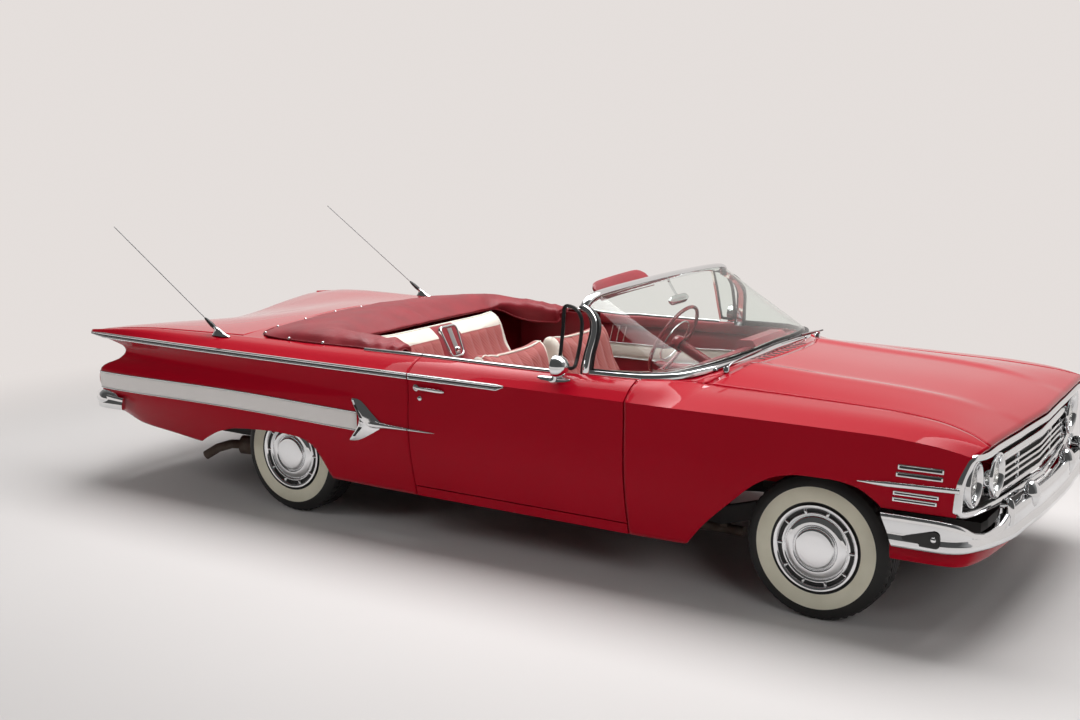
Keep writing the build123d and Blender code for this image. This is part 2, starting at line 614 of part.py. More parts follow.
def steering_wheel():
    """Thin rim on two spokes with a horn ring, on a deep boss."""
    plane = Plane(column_point(0), x_dir=(0, 1, 0), z_dir=Vector(*column_point(-1)) - Vector(*column_point(0)))
    rim = plane.location * Solid.make_torus(WHEEL_RADIUS, 12)
    horn = plane.location * Pos(0, 0, -6) * Solid.make_torus(WHEEL_RADIUS * 0.58, 5)
    boss = Solid.make_cone(46, 30, 70, plane.offset(-56))
    bar_plane = Plane((-WHEEL_RADIUS, -13, -6))
    spoke = plane.location * Pos(0, 0, -16) * Solid.make_box(2 * WHEEL_RADIUS, 26, 12, bar_plane)
    return rim.fuse(spoke, boss, horn)


def steering_column():
    start = Vector(*column_point(56 + SEAT_GAP))
    return Solid.make_cylinder(28, 756.2, Plane(start, z_dir=Vector(*column_point(58)) - start))


FRONT_CUSHION = [(480, 500), (500, 560), (470, 606), (60, 580), (-20, 560), (-40, 470), (440, 470)]
FRONT_BACK = [(60, 570), (-20, 550), (-30, 480), (-110, 480), (-170, 900), (-150, 950), (-100, 958), (-70, 930)]
REAR_CUSHION = [(-350, 490), (-325, 550), (-375, 592), (-640, 560), (-690, 500), (-690, 456), (-380, 456)]
REAR_BACK = [(-600, 556), (-640, 480), (-740, 480), (-888, 950), (-868, 985), (-815, 982), (-780, 940)]


def front_seat():
    cushion = across(FRONT_CUSHION, -660, 660)
    backs = [across(FRONT_BACK, -660, -6), across(FRONT_BACK, 6, 660)]
    plinth = block((0, 420), (-600, 600), (434, 472))
    legs = [block((20, 400), (s * 400 - 40, s * 400 + 40), (FLOOR_Z + SEAT_GAP, 472)) for s in (-1, 1)]
    return cushion.fuse(*backs, plinth, *legs)


def rear_seat():
    cushion = across(REAR_CUSHION, -590, 590)
    back = across(REAR_BACK, -590, 590)
    plinth = block((-500, -390), (-560, 560), (414, 460))
    legs = [block((-500, -390), (s * 400 - 40, s * 400 + 40), (FLOOR_Z + SEAT_GAP, 460)) for s in (-1, 1)]
    return cushion.fuse(back, plinth, *legs)


def top_boot():
    """Cloth boot over the folded top: a crowned cover with an arm along each side of the rear seat."""
    rows = []
    for x, low, rise in ((-1470, 990, 12), (-1330, 1000, 22), (-1060, 1006, 34), (-890, 1002, 40)):
        rows.append((x, [(846, 968), (800, 984 + rise * 0.4), (560, low + rise * 0.7), (0, low + rise)]))
    wires = []
    for x, half in rows:
        full = half + [(-w, z) for w, z in half[-2::-1]]
        wires.append(ring(full, [(w, z - 14) for w, z in full], x))
    cover = Solid.make_loft(wires)
    arm = across([(-900, 960), (-900, 1010), (-470, 1000), (-440, 980), (-450, 960)], 690, 846)
    return cover, arm


def side_panel():
    """Trim panel inside the quarter, beside the rear seat."""
    front_x, low_z = DOOR_REAR_X - 10, FLOOR_Z + SEAT_GAP
    return across([(front_x, low_z), (front_x, 950), (-815, 944), (-815, 492), (-606, 452), (-506, low_z)], 838, 850)


# Running gear
def tyre(mid):
    half = TYRE_WIDTH / 2
    outline = [(-76, RIM_RADIUS), (-half + 4, RIM_RADIUS + 26), (-half, 255), (-half + 10, 296),
               (-76, TYRE_RADIUS - 4), (-60, TYRE_RADIUS), (60, TYRE_RADIUS), (76, TYRE_RADIUS - 4), (half - 10, 296), (half, 255),
               (half - 4, RIM_RADIUS + 26), (76, RIM_RADIUS)]
    return spun([(mid + y, r) for y, r in outline], 0, 0)


def wheel(mid, hub_w):
    """Steel wheel with its full cover, from the hub face to the domed centre."""
    lip = RIM_RADIUS - SEAT_GAP
    outline = [(hub_w, 0), (hub_w, 92), (mid - 84, 150), (mid - 96, lip + 12), (mid - 90, lip + 12), (mid - 77, lip),
               (mid + 77, lip), (mid + 93, lip + 16), (mid + 98, lip + 14), (mid + 95, lip), (mid + 86, 150),
               (mid + 74, 128), (mid + 78, 104), (mid + 92, 92), (mid + 94, 70), (mid + 112, 62), (mid + 118, 30),
               (mid + 119, 0)]
    return spun(outline, 0, 0)


def at_wheel(shape, axle_x):
    return Pos(axle_x, 0, AXLE_Z) * shape


def knuckle():
    """Steering knuckle: upright between two ball joints with the hub spindle and brake backing plate."""
    king = TRACK_FRONT / 2 - KINGPIN_INSET
    post = block((FRONT_AXLE_X - 22, FRONT_AXLE_X + 22), (king - 22, king + 20), (AXLE_Z - 116, AXLE_Z + 116))
    plate = rod((FRONT_AXLE_X, king + 18, AXLE_Z), (FRONT_AXLE_X, FRONT_HUB_W, AXLE_Z), 86)
    arm = block((FRONT_AXLE_X - 150, FRONT_AXLE_X - 20), (king - 44, king - 16), (AXLE_Z - 70, AXLE_Z - 48))
    return post.fuse(plate, arm)


def front_suspension():
    """Crossmember, wishbones and coil springs."""
    king = TRACK_FRONT / 2 - KINGPIN_INSET
    x = FRONT_AXLE_X
    cross = block((x - 70, x + 70), (-FRONT_RAIL_W - 46, FRONT_RAIL_W + 46), (206, 300))
    arms = []
    for z, inner, half, thick in ((203, FRONT_RAIL_W - 70, 96, 16), (457, FRONT_RAIL_W + 32, 70, 14)):
        plan = [(x - half, inner), (x - 14, king + 2), (x + 14, king + 2), (x + half, inner)]
        arms.append(upright(plan, z - thick / 2, z + thick / 2))
    low = rod((x, king, 200), (x, king, AXLE_Z - 116 - SEAT_GAP), 12)
    high = rod((x, king, AXLE_Z + 116 + SEAT_GAP), (x, king, 460), 12)
    spring = rod((x, king - 162, 204), (x, king - 162, 455), 46)
    tower = block((x - 60, x + 60), (FRONT_RAIL_W + 31.2, FRONT_RAIL_W + 52), (290, 464))
    left = arms[0].fuse(arms[1], low, high, spring, tower)
    return cross.fuse(left, mirrored(left))


def frame():
    """X-shaped chassis frame: rails that meet at a centre tunnel, with crossmembers."""
    axle = REAR_AXLE_X
    front_z, rear_z = FRAME_FRONT_TOP - RAIL[1] / 2, FRAME_REAR_TOP - RAIL[1] / 2
    low_z = FLOOR_Z - FLOOR_SHEET - SEAT_GAP - RAIL[1] / 2
    front, rear = FRONT_RAIL_W, REAR_RAIL_W
    rail = [(2420, front + 40, front_z), (2100, front, 380), (1500, front - 20, 350), (1150, front - 70, low_z),
            (420, 90, low_z), (-120, 90, low_z), (-620, rear - 110, low_z), (axle + 340, rear - 20, 300),
            (axle + 230, rear, 440), (axle - 200, rear, 440), (axle - 300, rear - 10, rear_z),
            (-2560, rear - 40, rear_z)]
    left = bar(rail, *RAIL)
    crosses = [block((x - 36, x + 36), (-w, w), (z - 40, z + 40)) for x, w, z in
               ((2380, front + 20, front_z), (-2380, rear - 40, rear_z), (axle - 330, rear - 20, rear_z))]
    spine = block((-160, 460), (-120, 120), (low_z - RAIL[1] / 2 - PAD_DROP, low_z + RAIL[1] / 2 - 4))
    holes = [rod((x, s * TOW_HOLES[1] / 2, 200), (x, s * TOW_HOLES[1] / 2, 600), TOW_HOLES[0])
             for x in (2380, -2380) for s in (-1, 1)]
    return left.fuse(mirrored(left), spine, *crosses) - holes


def rear_axle():
    """Live axle with its differential, trailing arms and coil springs."""
    x, end = REAR_AXLE_X, TRACK_REAR / 2 - 98
    tube = rod((x, -end, AXLE_Z), (x, end, AXLE_Z), 40)
    case = Pos(x, 0, AXLE_Z) * Solid.make_sphere(128)
    nose = rod((x + 60, 0, AXLE_Z), (x + 190, 0, AXLE_Z - 18), 56)
    plates = [rod((x, s * (end - 14), AXLE_Z), (x, s * end, AXLE_Z), 118) for s in (-1, 1)]
    seat_w = REAR_RAIL_W - 120
    springs = [rod((x, s * seat_w, AXLE_Z), (x, s * seat_w, 548 - SEAT_GAP), 54) for s in (-1, 1)]
    return tube.fuse(case, nose, *plates, *springs)


def driveline():
    """Gearbox behind the engine, and the two-part shaft from the frame's tunnel to the rear axle."""
    box = across([(1400 - SEAT_GAP, 330), (1400 - SEAT_GAP, 560), (1250, 500), (1250, 340)], -120, 120)
    rear_x, front_x = REAR_AXLE_X + 190.6, -163
    joint_x = rear_x + 0.55 * (front_x - rear_x)
    shaft = pipe([(rear_x, 0, AXLE_Z - 18), (joint_x, 0, 250), (front_x, 0, 232)], 60, 22)
    return box, shaft


def exhaust():
    """Pipe under the frame, silencer behind the axle and tailpipe that turns out behind the right wheel."""
    axle = REAR_AXLE_X
    front = pipe([(1250, -330, 163), (axle + 884, -330, 163), (axle + 304, -520, 163), (axle - 216, -530, 178),
                  (axle - 376, -540, 245)], 60, 24)
    silencer = rod((axle - 356, -538, 238), (axle - 596, -610, 246), 54)
    tail = pipe([(axle - 576, -604, 245), (axle - 646, -650, 250), (axle - 716, -690, 225),
                 (axle - 786, -720, 178)], 30, 26)
    hanger = block((1130, 1170), (-350, -310), (170, FLOOR_Z - FLOOR_SHEET - RAIL[1] - 2 * SEAT_GAP))
    return front.fuse(silencer, tail, hanger)


def fuel_tank():
    front_x = REAR_AXLE_X - 596
    return block((front_x - 530, front_x), (-440, 440), (250, 418 - SEAT_GAP))


def radiator():
    return block((2280, 2340), (-330, 330), (FRAME_FRONT_TOP + SEAT_GAP, 800))


def apron(lid):
    """Inner wall between the engine bay and a front wheel, with its top flange and a rubber stop under the hood."""
    wall = block((FIREWALL_X + FLOOR_SHEET + SEAT_GAP, 2295), (FRONT_APRON_W - 6, FRONT_APRON_W), (480, 894))
    flange = block((FIREWALL_X + FLOOR_SHEET + SEAT_GAP, 2200), (FRONT_APRON_W - 6, 736), (888, 894))
    stop = rod((2150, 640, 890), (2150, 640, 934), 12)
    return wall.fuse(flange, largest(stop - Pos(0, 0, -SEAT_GAP) * lid))


def front_valance():
    """Painted apron below the front bumper."""
    path = [(2170, 928), (2400, 916), (2470, 868), (2520, 600), (2540, 0)]
    half = [(x, w, FRAME_FRONT_TOP - 38) for x, w in path]
    return bar(half + [(x, -w, z) for x, w, z in half[-2::-1]], 16, 76)


def door_mirror():
    """Round mirror on a raked stalk near the door's front."""
    stalk = rod((545, 940, 930), (572, 950, 1000), 9)
    foot = rod((545, 936, 936), (552, 940, 958), 24)
    head = rod((560, 952, 1008), (592, 952, 1012), 46)
    return stalk.fuse(foot, head)


def sun_visor():
    return across([(440, 1314), (603.5, 1326), (603.5, 1338), (440, 1326)], 70, 540)


def cabin_mirror():
    """Inside mirror hung from the header."""
    stalk = rod((640, 0, 1320), (702, 0, 1222), 7)
    cap = rod((640, 0, 1312), (640, 0, 1326.3), 16)
    return stalk.fuse(cap, block((694, 712), (-110, 110), (1192, 1242)))


def engine():
    """Engine as one block of its size."""
    lower = block((1400, 2050), (-190, 190), (330, 520))
    banks = across([(1400, 520), (1400, 800), (1450, 830), (2030, 830), (2060, 780), (2060, 520)], -290, 290)
    foot = block((FRONT_AXLE_X - 30, FRONT_AXLE_X + 30), (-120, 120), (300 + SEAT_GAP, 335))
    return lower.fuse(banks, foot)


def antennas():
    """Two raked masts on the rear quarters."""
    w = 918
    foot = (-1609, w, 946)
    tip = (-2440, w, 1503)
    mast = rod(foot, tip, 2.6)
    base = rod(foot, (-1700, w, 1007), 10)
    return mast.fuse(base)


# Assembly: left-hand pieces are mirrored for the right, and touching panels are trimmed to each other
left_fender, left_quarter, left_door = fender(), quarter(), door()
fenders = [left_fender, mirrored(left_fender)]
quarters = [left_quarter, mirrored(left_quarter)]
keep_pair("fender", left_fender)
keep_pair("quarter", left_quarter)
keep_pair("door", left_door)
keep("rockers", rocker(), mirrored(rocker()))
hood_panel = hood()
keep("hood", hood_panel)
lid_panel = trunk_lid()
keep("trunk_lid", lid_panel)
deck = largest(deck_filler() - quarters)
keep("deck_filler", deck)
cowl_panel = largest(cowl() - fenders)
keep("cowl", cowl_panel)
keep("floor", largest(floor() - cowl_panel))
keep("tail_panel", tail_panel(lid_panel))
keep("front_bumper", front_bumper())
keep("front_valance", front_valance())
keep("rear_bumper", rear_bumper())
keep("grille", grille())
keep("headlamps", *[lamp(x - 60 + SEAT_GAP, s * w, LAMP_Z, LAMP_RADIUS - SEAT_GAP, 62, 1)
                    for x, w in LAMPS for s in (-1, 1)])
keep("tail_lamps", *[lamp(TAIL_X - SEAT_GAP, s * w, TAIL_LAMP_Z, r, 26, -1) for w, r in TAIL_LAMPS for s in (-1, 1)])
bright_frame = largest(windshield_frame() - cowl_panel)
keep("windshield_frame", bright_frame)
keep("windshield_glass", largest(windshield_glass() - bright_frame))
keep_pair("vent_frame", largest(vent_frame() - left_door))
keep_pair("vent_glass", vent_glass())
keep_pair("door_mirror", largest(door_mirror() - left_door))
keep("dashboard", dashboard())
keep("steering_column", steering_column())
keep("steering_wheel", steering_wheel())
keep("front_seat", front_seat())
keep("rear_seat", rear_seat())
boot, arm = top_boot()
keep("top_boot", largest((boot - deck).fuse(arm, mirrored(arm))))
keep("side_panels", side_panel(), mirrored(side_panel()))
keep("sun_visors", sun_visor(), mirrored(sun_visor()))
keep("cabin_mirror", cabin_mirror())
mast = largest(antennas() - left_quarter)
keep("antennas", mast, mirrored(mast))
keep("frame", frame())
keep("front_suspension", front_suspension())
keep("rear_axle", rear_axle())
keep("driveline", *driveline())
keep("exhaust", exhaust())
keep("fuel_tank", fuel_tank())
keep("radiator", radiator())
left_apron = apron(hood_panel)
keep("aprons", left_apron, mirrored(left_apron))
house = largest(wheelhouse(REAR_AXLE_X, 385, REAR_HOUSE_W, HOUSE_REACH_W, 420) - left_quarter)
keep("wheelhouses", house, mirrored(house))
keep("engine", engine())
keep_pair("knuckle", knuckle())
front_hub = FRONT_HUB_W + SEAT_GAP
rear_hub = TRACK_REAR / 2 - 98 + SEAT_GAP
for end, axle_x, track, hub in (("front", FRONT_AXLE_X, TRACK_FRONT, front_hub),
                                ("rear", REAR_AXLE_X, TRACK_REAR, rear_hub)):
    keep_pair(f"tyre_{end}", at_wheel(tyre(track / 2), axle_x))
    keep_pair(f"wheel_{end}", at_wheel(wheel(track / 2, hub), axle_x))

for name, solids in PIECES.items():
    placed = [Pos(ORIGIN_X, 0, 0) * s for solid in solids for s in solid.solids()]
    export_step(placed[0] if len(placed) == 1 else Compound(children=placed), f"parts/{name}.step")
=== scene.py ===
import math
from bisect import bisect_right

import bmesh
import bpy
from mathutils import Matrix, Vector


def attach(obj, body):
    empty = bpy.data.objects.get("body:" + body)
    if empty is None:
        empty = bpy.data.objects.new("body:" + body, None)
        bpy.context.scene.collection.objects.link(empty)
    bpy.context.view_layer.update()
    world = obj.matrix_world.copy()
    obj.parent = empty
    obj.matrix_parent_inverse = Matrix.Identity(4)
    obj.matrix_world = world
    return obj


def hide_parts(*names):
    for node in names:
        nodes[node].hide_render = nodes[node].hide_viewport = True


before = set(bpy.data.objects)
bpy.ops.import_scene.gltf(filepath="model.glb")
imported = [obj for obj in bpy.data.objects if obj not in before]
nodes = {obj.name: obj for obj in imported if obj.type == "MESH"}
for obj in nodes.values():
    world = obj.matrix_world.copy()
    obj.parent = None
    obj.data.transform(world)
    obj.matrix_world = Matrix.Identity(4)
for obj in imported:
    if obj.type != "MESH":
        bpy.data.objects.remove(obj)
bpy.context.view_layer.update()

# Underbody: the frame, axles, engine and exhaust are steel castings and pressings, bolted together below
# the floor. They are brushed with chassis black or left bare, dull and dusty, and only glimpsed through the
# arches.


def node_group(name, inputs, outputs):
    """A shader node group with float inputs and named outputs, with its nodes, links and end nodes."""
    group = bpy.data.node_groups.new(name, "ShaderNodeTree")
    for label, value in inputs.items():
        group.interface.new_socket(label, in_out="INPUT",
                                   socket_type="NodeSocketFloat").default_value = value
    for label in outputs:
        group.interface.new_socket(label, in_out="OUTPUT", socket_type="NodeSocketFloat")
    source = group.nodes.new("NodeGroupInput")
    sink = group.nodes.new("NodeGroupOutput")
    coords = group.nodes.new("ShaderNodeTexCoord")
    return group, source, sink, coords


def math_node(tree, operation, a, b, c=0.5):
    """A Math node of two or three values, each a socket or a number."""
    node = tree.nodes.new("ShaderNodeMath")
    node.operation = operation
    for socket, value in zip(node.inputs, (a, b, c)):
        if isinstance(value, (int, float)):
            socket.default_value = value
        else:
            tree.links.new(value, socket)
    return node.outputs[0]


def add_node(tree, kind, **values):
    """A shader node with a value or a linked socket on each input that is named."""
    node = tree.nodes.new(f"ShaderNode{kind}")
    for label, value in values.items():
        socket = node.inputs[label.replace("_", " ")]
        if isinstance(value, bpy.types.NodeSocket):
            tree.links.new(value, socket)
        else:
            socket.default_value = value
    return node


def mix_colours(tree, mask, first, second):
    """A linked colour that gives way to a fixed second one by a mask."""
    mix = tree.nodes.new("ShaderNodeMix")
    mix.data_type = "RGBA"
    tree.links.new(mask, mix.inputs[0])
    tree.links.new(first, mix.inputs[6])
    mix.inputs[7].default_value = second
    return mix.outputs[2]


def mottle_group():
    """Cloudy wear with a fine grain: Mask for colour and gloss, Height for bump."""
    group, source, sink, coords = node_group("mottle", {"Cloud": 4.0, "Grain": 120.0}, ("Mask", "Height"))
    for label, detail, use in (("Cloud", 5.0, "Mask"), ("Grain", 2.0, "Height")):
        noise = add_node(group, "TexNoise", Vector=coords.outputs["Object"], Scale=source.outputs[label],
                         Detail=detail)
        group.links.new(noise.outputs["Fac"], sink.inputs[use])
    return group


MOTTLE = mottle_group()
RAMP_ENDS = (0.3, 0.7)
BUMP_DISTANCE = 0.001


def surface(name, dark, light, rough, grain=(4.0, 120.0), bump=0.0, pattern=MOTTLE, slot=None, **sockets):
    """A material of two colours and roughnesses mixed by a pattern group, its height as bump; its slot is
    not used.
    """
    material = bpy.data.materials.new(name)
    material.use_nodes = True
    tree = material.node_tree
    shader = tree.nodes["Principled BSDF"]
    group = tree.nodes.new("ShaderNodeGroup")
    group.node_tree = pattern
    for socket, value in zip(group.inputs, grain):
        socket.default_value = value
    ramp = add_node(tree, "ValToRGB", Fac=group.outputs["Mask"])
    for element, place, colour in zip(ramp.color_ramp.elements, RAMP_ENDS, (dark, light)):
        element.position = place
        element.color = (*colour, 1.0)
    tree.links.new(ramp.outputs["Color"], shader.inputs["Base Color"])
    span = add_node(tree, "MapRange", Value=group.outputs["Mask"], To_Min=rough[0], To_Max=rough[1])
    tree.links.new(span.outputs["Result"], shader.inputs["Roughness"])
    if bump:
        lift = add_node(tree, "Bump", Strength=bump, Distance=BUMP_DISTANCE, Height=group.outputs["Height"])
        tree.links.new(lift.outputs["Normal"], shader.inputs["Normal"])
    for label, value in sockets.items():
        shader.inputs[label.replace("_", " ").title().replace("Ior", "IOR")].default_value = value
    return material


def dress(name, material):
    """Gives a node of the frame a material."""
    slots = nodes[name].data.materials
    slots.clear()
    slots.append(material)


chassis_black = surface("chassis_black", (0.012, 0.012, 0.012), (0.03, 0.028, 0.026), (0.45, 0.7), (3, 90),
                        0.3, slot="dark_steel")
bare_iron = surface("bare_iron", (0.05, 0.045, 0.04), (0.12, 0.11, 0.1), (0.5, 0.75), (8, 160), 0.5,
                    metallic=0.6)
rusty_pipe = surface("rusty_pipe", (0.09, 0.06, 0.045), (0.2, 0.16, 0.13), (0.5, 0.8), (14, 260), 0.6,
                     metallic=0.5)
radiator_core = surface("radiator_core", (0.02, 0.02, 0.021), (0.07, 0.07, 0.072), (0.4, 0.6), (30, 300),
                        0.6)
for node_name in ("frame", "fuel_tank", "rear_axle"):
    dress(node_name, chassis_black)
for node_name in ("front_suspension", "driveline", "engine", "knuckle_left", "knuckle_right"):
    dress(node_name, bare_iron)
dress("exhaust", rusty_pipe)
dress("radiator", radiator_core)

# Floor: pressed steel under a red loop carpet that is glued down over the tunnel and up the toe board.
carpet = surface("loop_carpet", (0.1, 0.008, 0.01), (0.2, 0.022, 0.022), (0.85, 0.98), (60, 420), 0.9)
dress("floor", carpet)

# Body side: stamped steel panels in deep red enamel under a clear gloss. Each panel is swept through body
# lines that run the length of the car: a sharp edge at the belt, a hollow below it, a full pod and a tucked
# sill.
DATUM = 55.0
MM = 0.001
SKIN = 12.0
PANEL_GAP = 6.0
CROWN_RISE = 14.0
CORNER_SHARE = 0.45
# Columns: station, then half width and height of the edge, the cove, the pod's top and low side, and the
# tuck.
BODY_SECTIONS = [
    (-2612, 985, 889, 880, 800, 975, 706, 968, 560, 930, 470),
    (-2450, 1000, 892, 905, 796, 993, 706, 988, 558, 942, 460),
    (-2150, 1014, 893, 945, 796, 1012, 702, 1006, 556, 965, 440),
    (-1600, 1024, 893, 984, 798, 1024, 698, 1018, 552, 984, 420),
    (-900, 1022, 893, 1003, 800, 1022, 692, 1018, 548, 988, 410),
    (-260, 1013, 893, 1006, 802, 1014, 690, 1010, 546, 984, 405),
    (300, 1007, 894, 1003, 804, 1009, 690, 1004, 546, 979, 405),
    (950, 1001, 894, 998, 804, 1002, 690, 998, 546, 974, 405),
    (1600, 995, 894, 992, 804, 996, 690, 990, 546, 968, 412),
    (2100, 985, 891, 982, 802, 988, 690, 980, 548, 956, 440),
    (2330, 973, 875, 970, 794, 978, 688, 970, 550, 944, 450),
    (2460, 952, 848, 960, 772, 970, 682, 960, 552, 924, 452),
    (2560, 918, 806, 930, 742, 944, 675, 934, 555, 888, 455)]
EDGE_LINE, COVE_LINE, POD_TOP_LINE, POD_LOW_LINE, TUCK_LINE = (
    [(row[0], *row[k:k + 2]) for row in BODY_SECTIONS] for k in range(1, 11, 2))
SILL_LINE = [(-2612, 885, 440), (-2476, 900, 423), (-2264, 928, 378), (-1973, 946, 357),
             (-1805, 952, 342), (-1400, 952, 300), (-814, 952, 268), (-260, 946, 262),
             (300, 941, 262), (950, 936, 262), (1250, 934, 266), (1700, 930, 310),
             (2180, 922, 362), (2430, 896, 380), (2560, 858, 392)]
FENDER_TOP = [(951, 876, 974), (1060, 822, 976), (1150, 732, 965), (1215, 704, 953), (1584, 707, 948),
              (2076, 717, 938), (2275, 742, 925), (2425, 795, 903), (2560, 872, 862)]
BELT_LINE = [(-262, 880, 965), (300, 885, 966), (678, 885, 970), (943, 880, 973)]
QUARTER_TOP = [(-2612, 962, 896), (-2480, 964, 916), (-2319, 956, 935), (-2093, 932, 946),
               (-1733, 899, 950), (-1560, 882, 952), (-1400, 876, 954), (-900, 875, 957), (-267, 880, 965)]
LOWER_LINES = (COVE_LINE, POD_TOP_LINE, POD_LOW_LINE, TUCK_LINE, SILL_LINE)
EDGE_CORNER = 2


def line_at(line, x):
    """The columns after x of a body line at station x, by a monotone cubic through its rows."""
    stations = [row[0] for row in line]
    x = min(max(x, stations[0]), stations[-1])
    i = min(max(bisect_right(stations, x) - 1, 0), len(line) - 2)
    step = stations[i + 1] - stations[i]
    t = (x - stations[i]) / step
    values = []
    for column in range(1, len(line[0])):
        slopes = []
        for k in (i, i + 1):
            rises = [(line[j + 1][column] - line[j][column]) / (stations[j + 1] - stations[j])
                     for j in (k - 1, k) if 0 <= j < len(line) - 1]
            if len(rises) == 1:
                slopes.append(rises[0])
            else:
                product = rises[0] * rises[1]
                slopes.append(0 if product <= 0 else 2 * product / (rises[0] + rises[1]))
        a, b = line[i][column], line[i + 1][column]
        curve = (1 + 2 * t) * (1 - t) ** 2 * a + t * t * (3 - 2 * t) * b
        values.append(curve + step * t * (1 - t) * ((1 - t) * slopes[0] - t * slopes[1]))
    return tuple(values)


def rounded(corners, sharp=(), straight=4, turn=6):
    """Points (place along the corners, a, b) of a chain whose corners are turned by smooth arcs."""
    points = []
    start, begin = corners[0], 0.0
    for i in range(1, len(corners)):
        corner = Vector(corners[i])
        back = Vector(corners[i - 1]) - corner
        last = i == len(corners) - 1
        if last or i in sharp:
            stop, after, cut = corner, None, 0.0
        else:
            ahead = Vector(corners[i + 1]) - corner
            reach = CORNER_SHARE * min(back.length, ahead.length)
            stop, after = corner + back.normalized() * reach, corner + ahead.normalized() * reach
            cut = reach / back.length
        for k in range(straight):
            s = k / straight
            p = Vector(start).lerp(stop, s)
            points.append((begin + (i - cut - begin) * s, *p))
        if after is None:
            start, begin = tuple(corner), float(i)
            continue
        past = i + reach / ahead.length
        for k in range(turn):
            s = k / turn
            p = stop.lerp(corner, s).lerp(corner.lerp(after, s), s)
            points.append((i - cut + (past - i + cut) * s, *p))
        start, begin = tuple(after), past
    points.append((float(len(corners) - 1), *corners[-1]))
    return points


def side_section(x, top_line):
    """Points (place, half width, height) of the body side at a station, from its top edge to the sill."""
    top, edge = line_at(top_line, x), line_at(EDGE_LINE, x)
    crown = ((top[0] + edge[0]) / 2, (top[1] + edge[1]) / 2 + CROWN_RISE)
    return rounded([top, crown, edge, *(line_at(line, x) for line in LOWER_LINES)], (EDGE_CORNER,))


def new_piece(name, points, faces, material, body="body"):
    """A mesh piece from points in millimetres at body stations, riding on a body."""
    mesh = bpy.data.meshes.new(name)
    mesh.from_pydata([((x + DATUM) * MM, y * MM, z * MM) for x, y, z in points], [], faces)
    mesh.polygons.foreach_set("use_smooth", [True] * len(mesh.polygons))
    mesh.materials.append(material)
    piece = bpy.data.objects.new(name, mesh)
    bpy.context.collection.objects.link(piece)
    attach(piece, body)
    return piece


def tidy_mesh(piece, merge=0.2):
    """Joins points nearer than merge and drops the slivers that this leaves."""
    work = bmesh.new()
    work.from_mesh(piece.data)
    bmesh.ops.remove_doubles(work, verts=work.verts, dist=merge * MM)
    bmesh.ops.dissolve_degenerate(work, edges=work.edges, dist=merge * MM / 2)
    work.to_mesh(piece.data)
    work.free()


def grid_faces(rows, columns, flip=False, closed=False, ring=False):
    """Quads of a grid of points, with the columns joined round if closed, and the rows too in a ring."""
    faces = []
    for i in range(rows if ring else rows - 1):
        n = (i + 1) % rows
        for j in range(columns if closed else columns - 1):
            k = (j + 1) % columns
            quad = [i * columns + j, n * columns + j, n * columns + k, i * columns + k]
            faces.append(quad[::-1] if flip else quad)
    return faces


def thicken(piece, skin, sharp_deg=35):
    """Gives a sheet its thickness inwards, with a crisp folded edge."""
    solid = piece.modifiers.new("skin", "SOLIDIFY")
    solid.thickness = skin * MM
    solid.offset = -1
    solid.use_even_offset = False
    piece.data.set_sharp_from_angle(angle=math.radians(sharp_deg))


def spaced(start, end, step, extra=()):
    """Stations from start to end about step apart, with the extra ones among them."""
    count = max(2, round(abs(end - start) / step))
    inner = [start + (end - start) * k / count for k in range(count + 1)]
    return sorted({round(x, 2) for x in inner} | {round(x, 2) for x in extra if start <= x <= end})


def trimmed(row, limit):
    """A row of section points whose end below a height is drawn up to that height."""
    out, hit = [row[0]], None
    for p, q in zip(row, row[1:]):
        floor = limit(q[0])
        if q[2] >= floor:
            out.append(q)
            continue
        if hit is None:
            share = min(max((floor - p[2]) / (q[2] - p[2]), 0), 1) if p[2] - q[2] > 1e-6 else 0
            hit = tuple(a + (b - a) * share for a, b in zip(p, q))
        out.append(hit)
    return out


def side_rows(stations, top_line, low=None, reach=None):
    """Rows of (x, half width, height) of a body side panel: low trims it, reach moves its end by place."""
    rows = []
    for x in stations:
        section = side_section(x, top_line)
        row = [(x, w, z) for _, w, z in section]
        if reach:
            ends = [reach(x, place) for place, _, _ in section]
            row = [(at, *side_section(at, top_line)[k][1:]) if at != x else row[k]
                   for k, at in enumerate(ends)]
        rows.append(trimmed(row, low) if low else row)
    return rows


def skin_piece(name, rows, side, body, node):
    """A painted sheet over rows of points, on one side of the car, in place of a node."""
    points = [(x, side * w, z) for row in rows for x, w, z in row]
    piece = new_piece(name, points, grid_faces(len(rows), len(rows[0]), side < 0), enamel, body)
    tidy_mesh(piece)
    thicken(piece, SKIN)
    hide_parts(node)
    return piece


def smooth_step(t):
    t = min(max(t, 0.0), 1.0)
    return t * t * (3 - 2 * t)


def end_reach(pivot, last, table):
    """Moves the stations beyond a pivot so that each place along the section ends at its own x."""
    def reach(x, place):
        share = (x - pivot) / (last - pivot)
        if share <= 0:
            return x
        return pivot + share * (line_at(table, place)[0] - pivot)
    return reach


enamel = surface("red_enamel", (0.36, 0.0018, 0.012), (0.385, 0.0026, 0.0145), (0.32, 0.38), (1.4, 700),
                 0.01, specular_ior_level=0.03, coat_roughness=0.02, coat_ior=1.5, slot="paint")
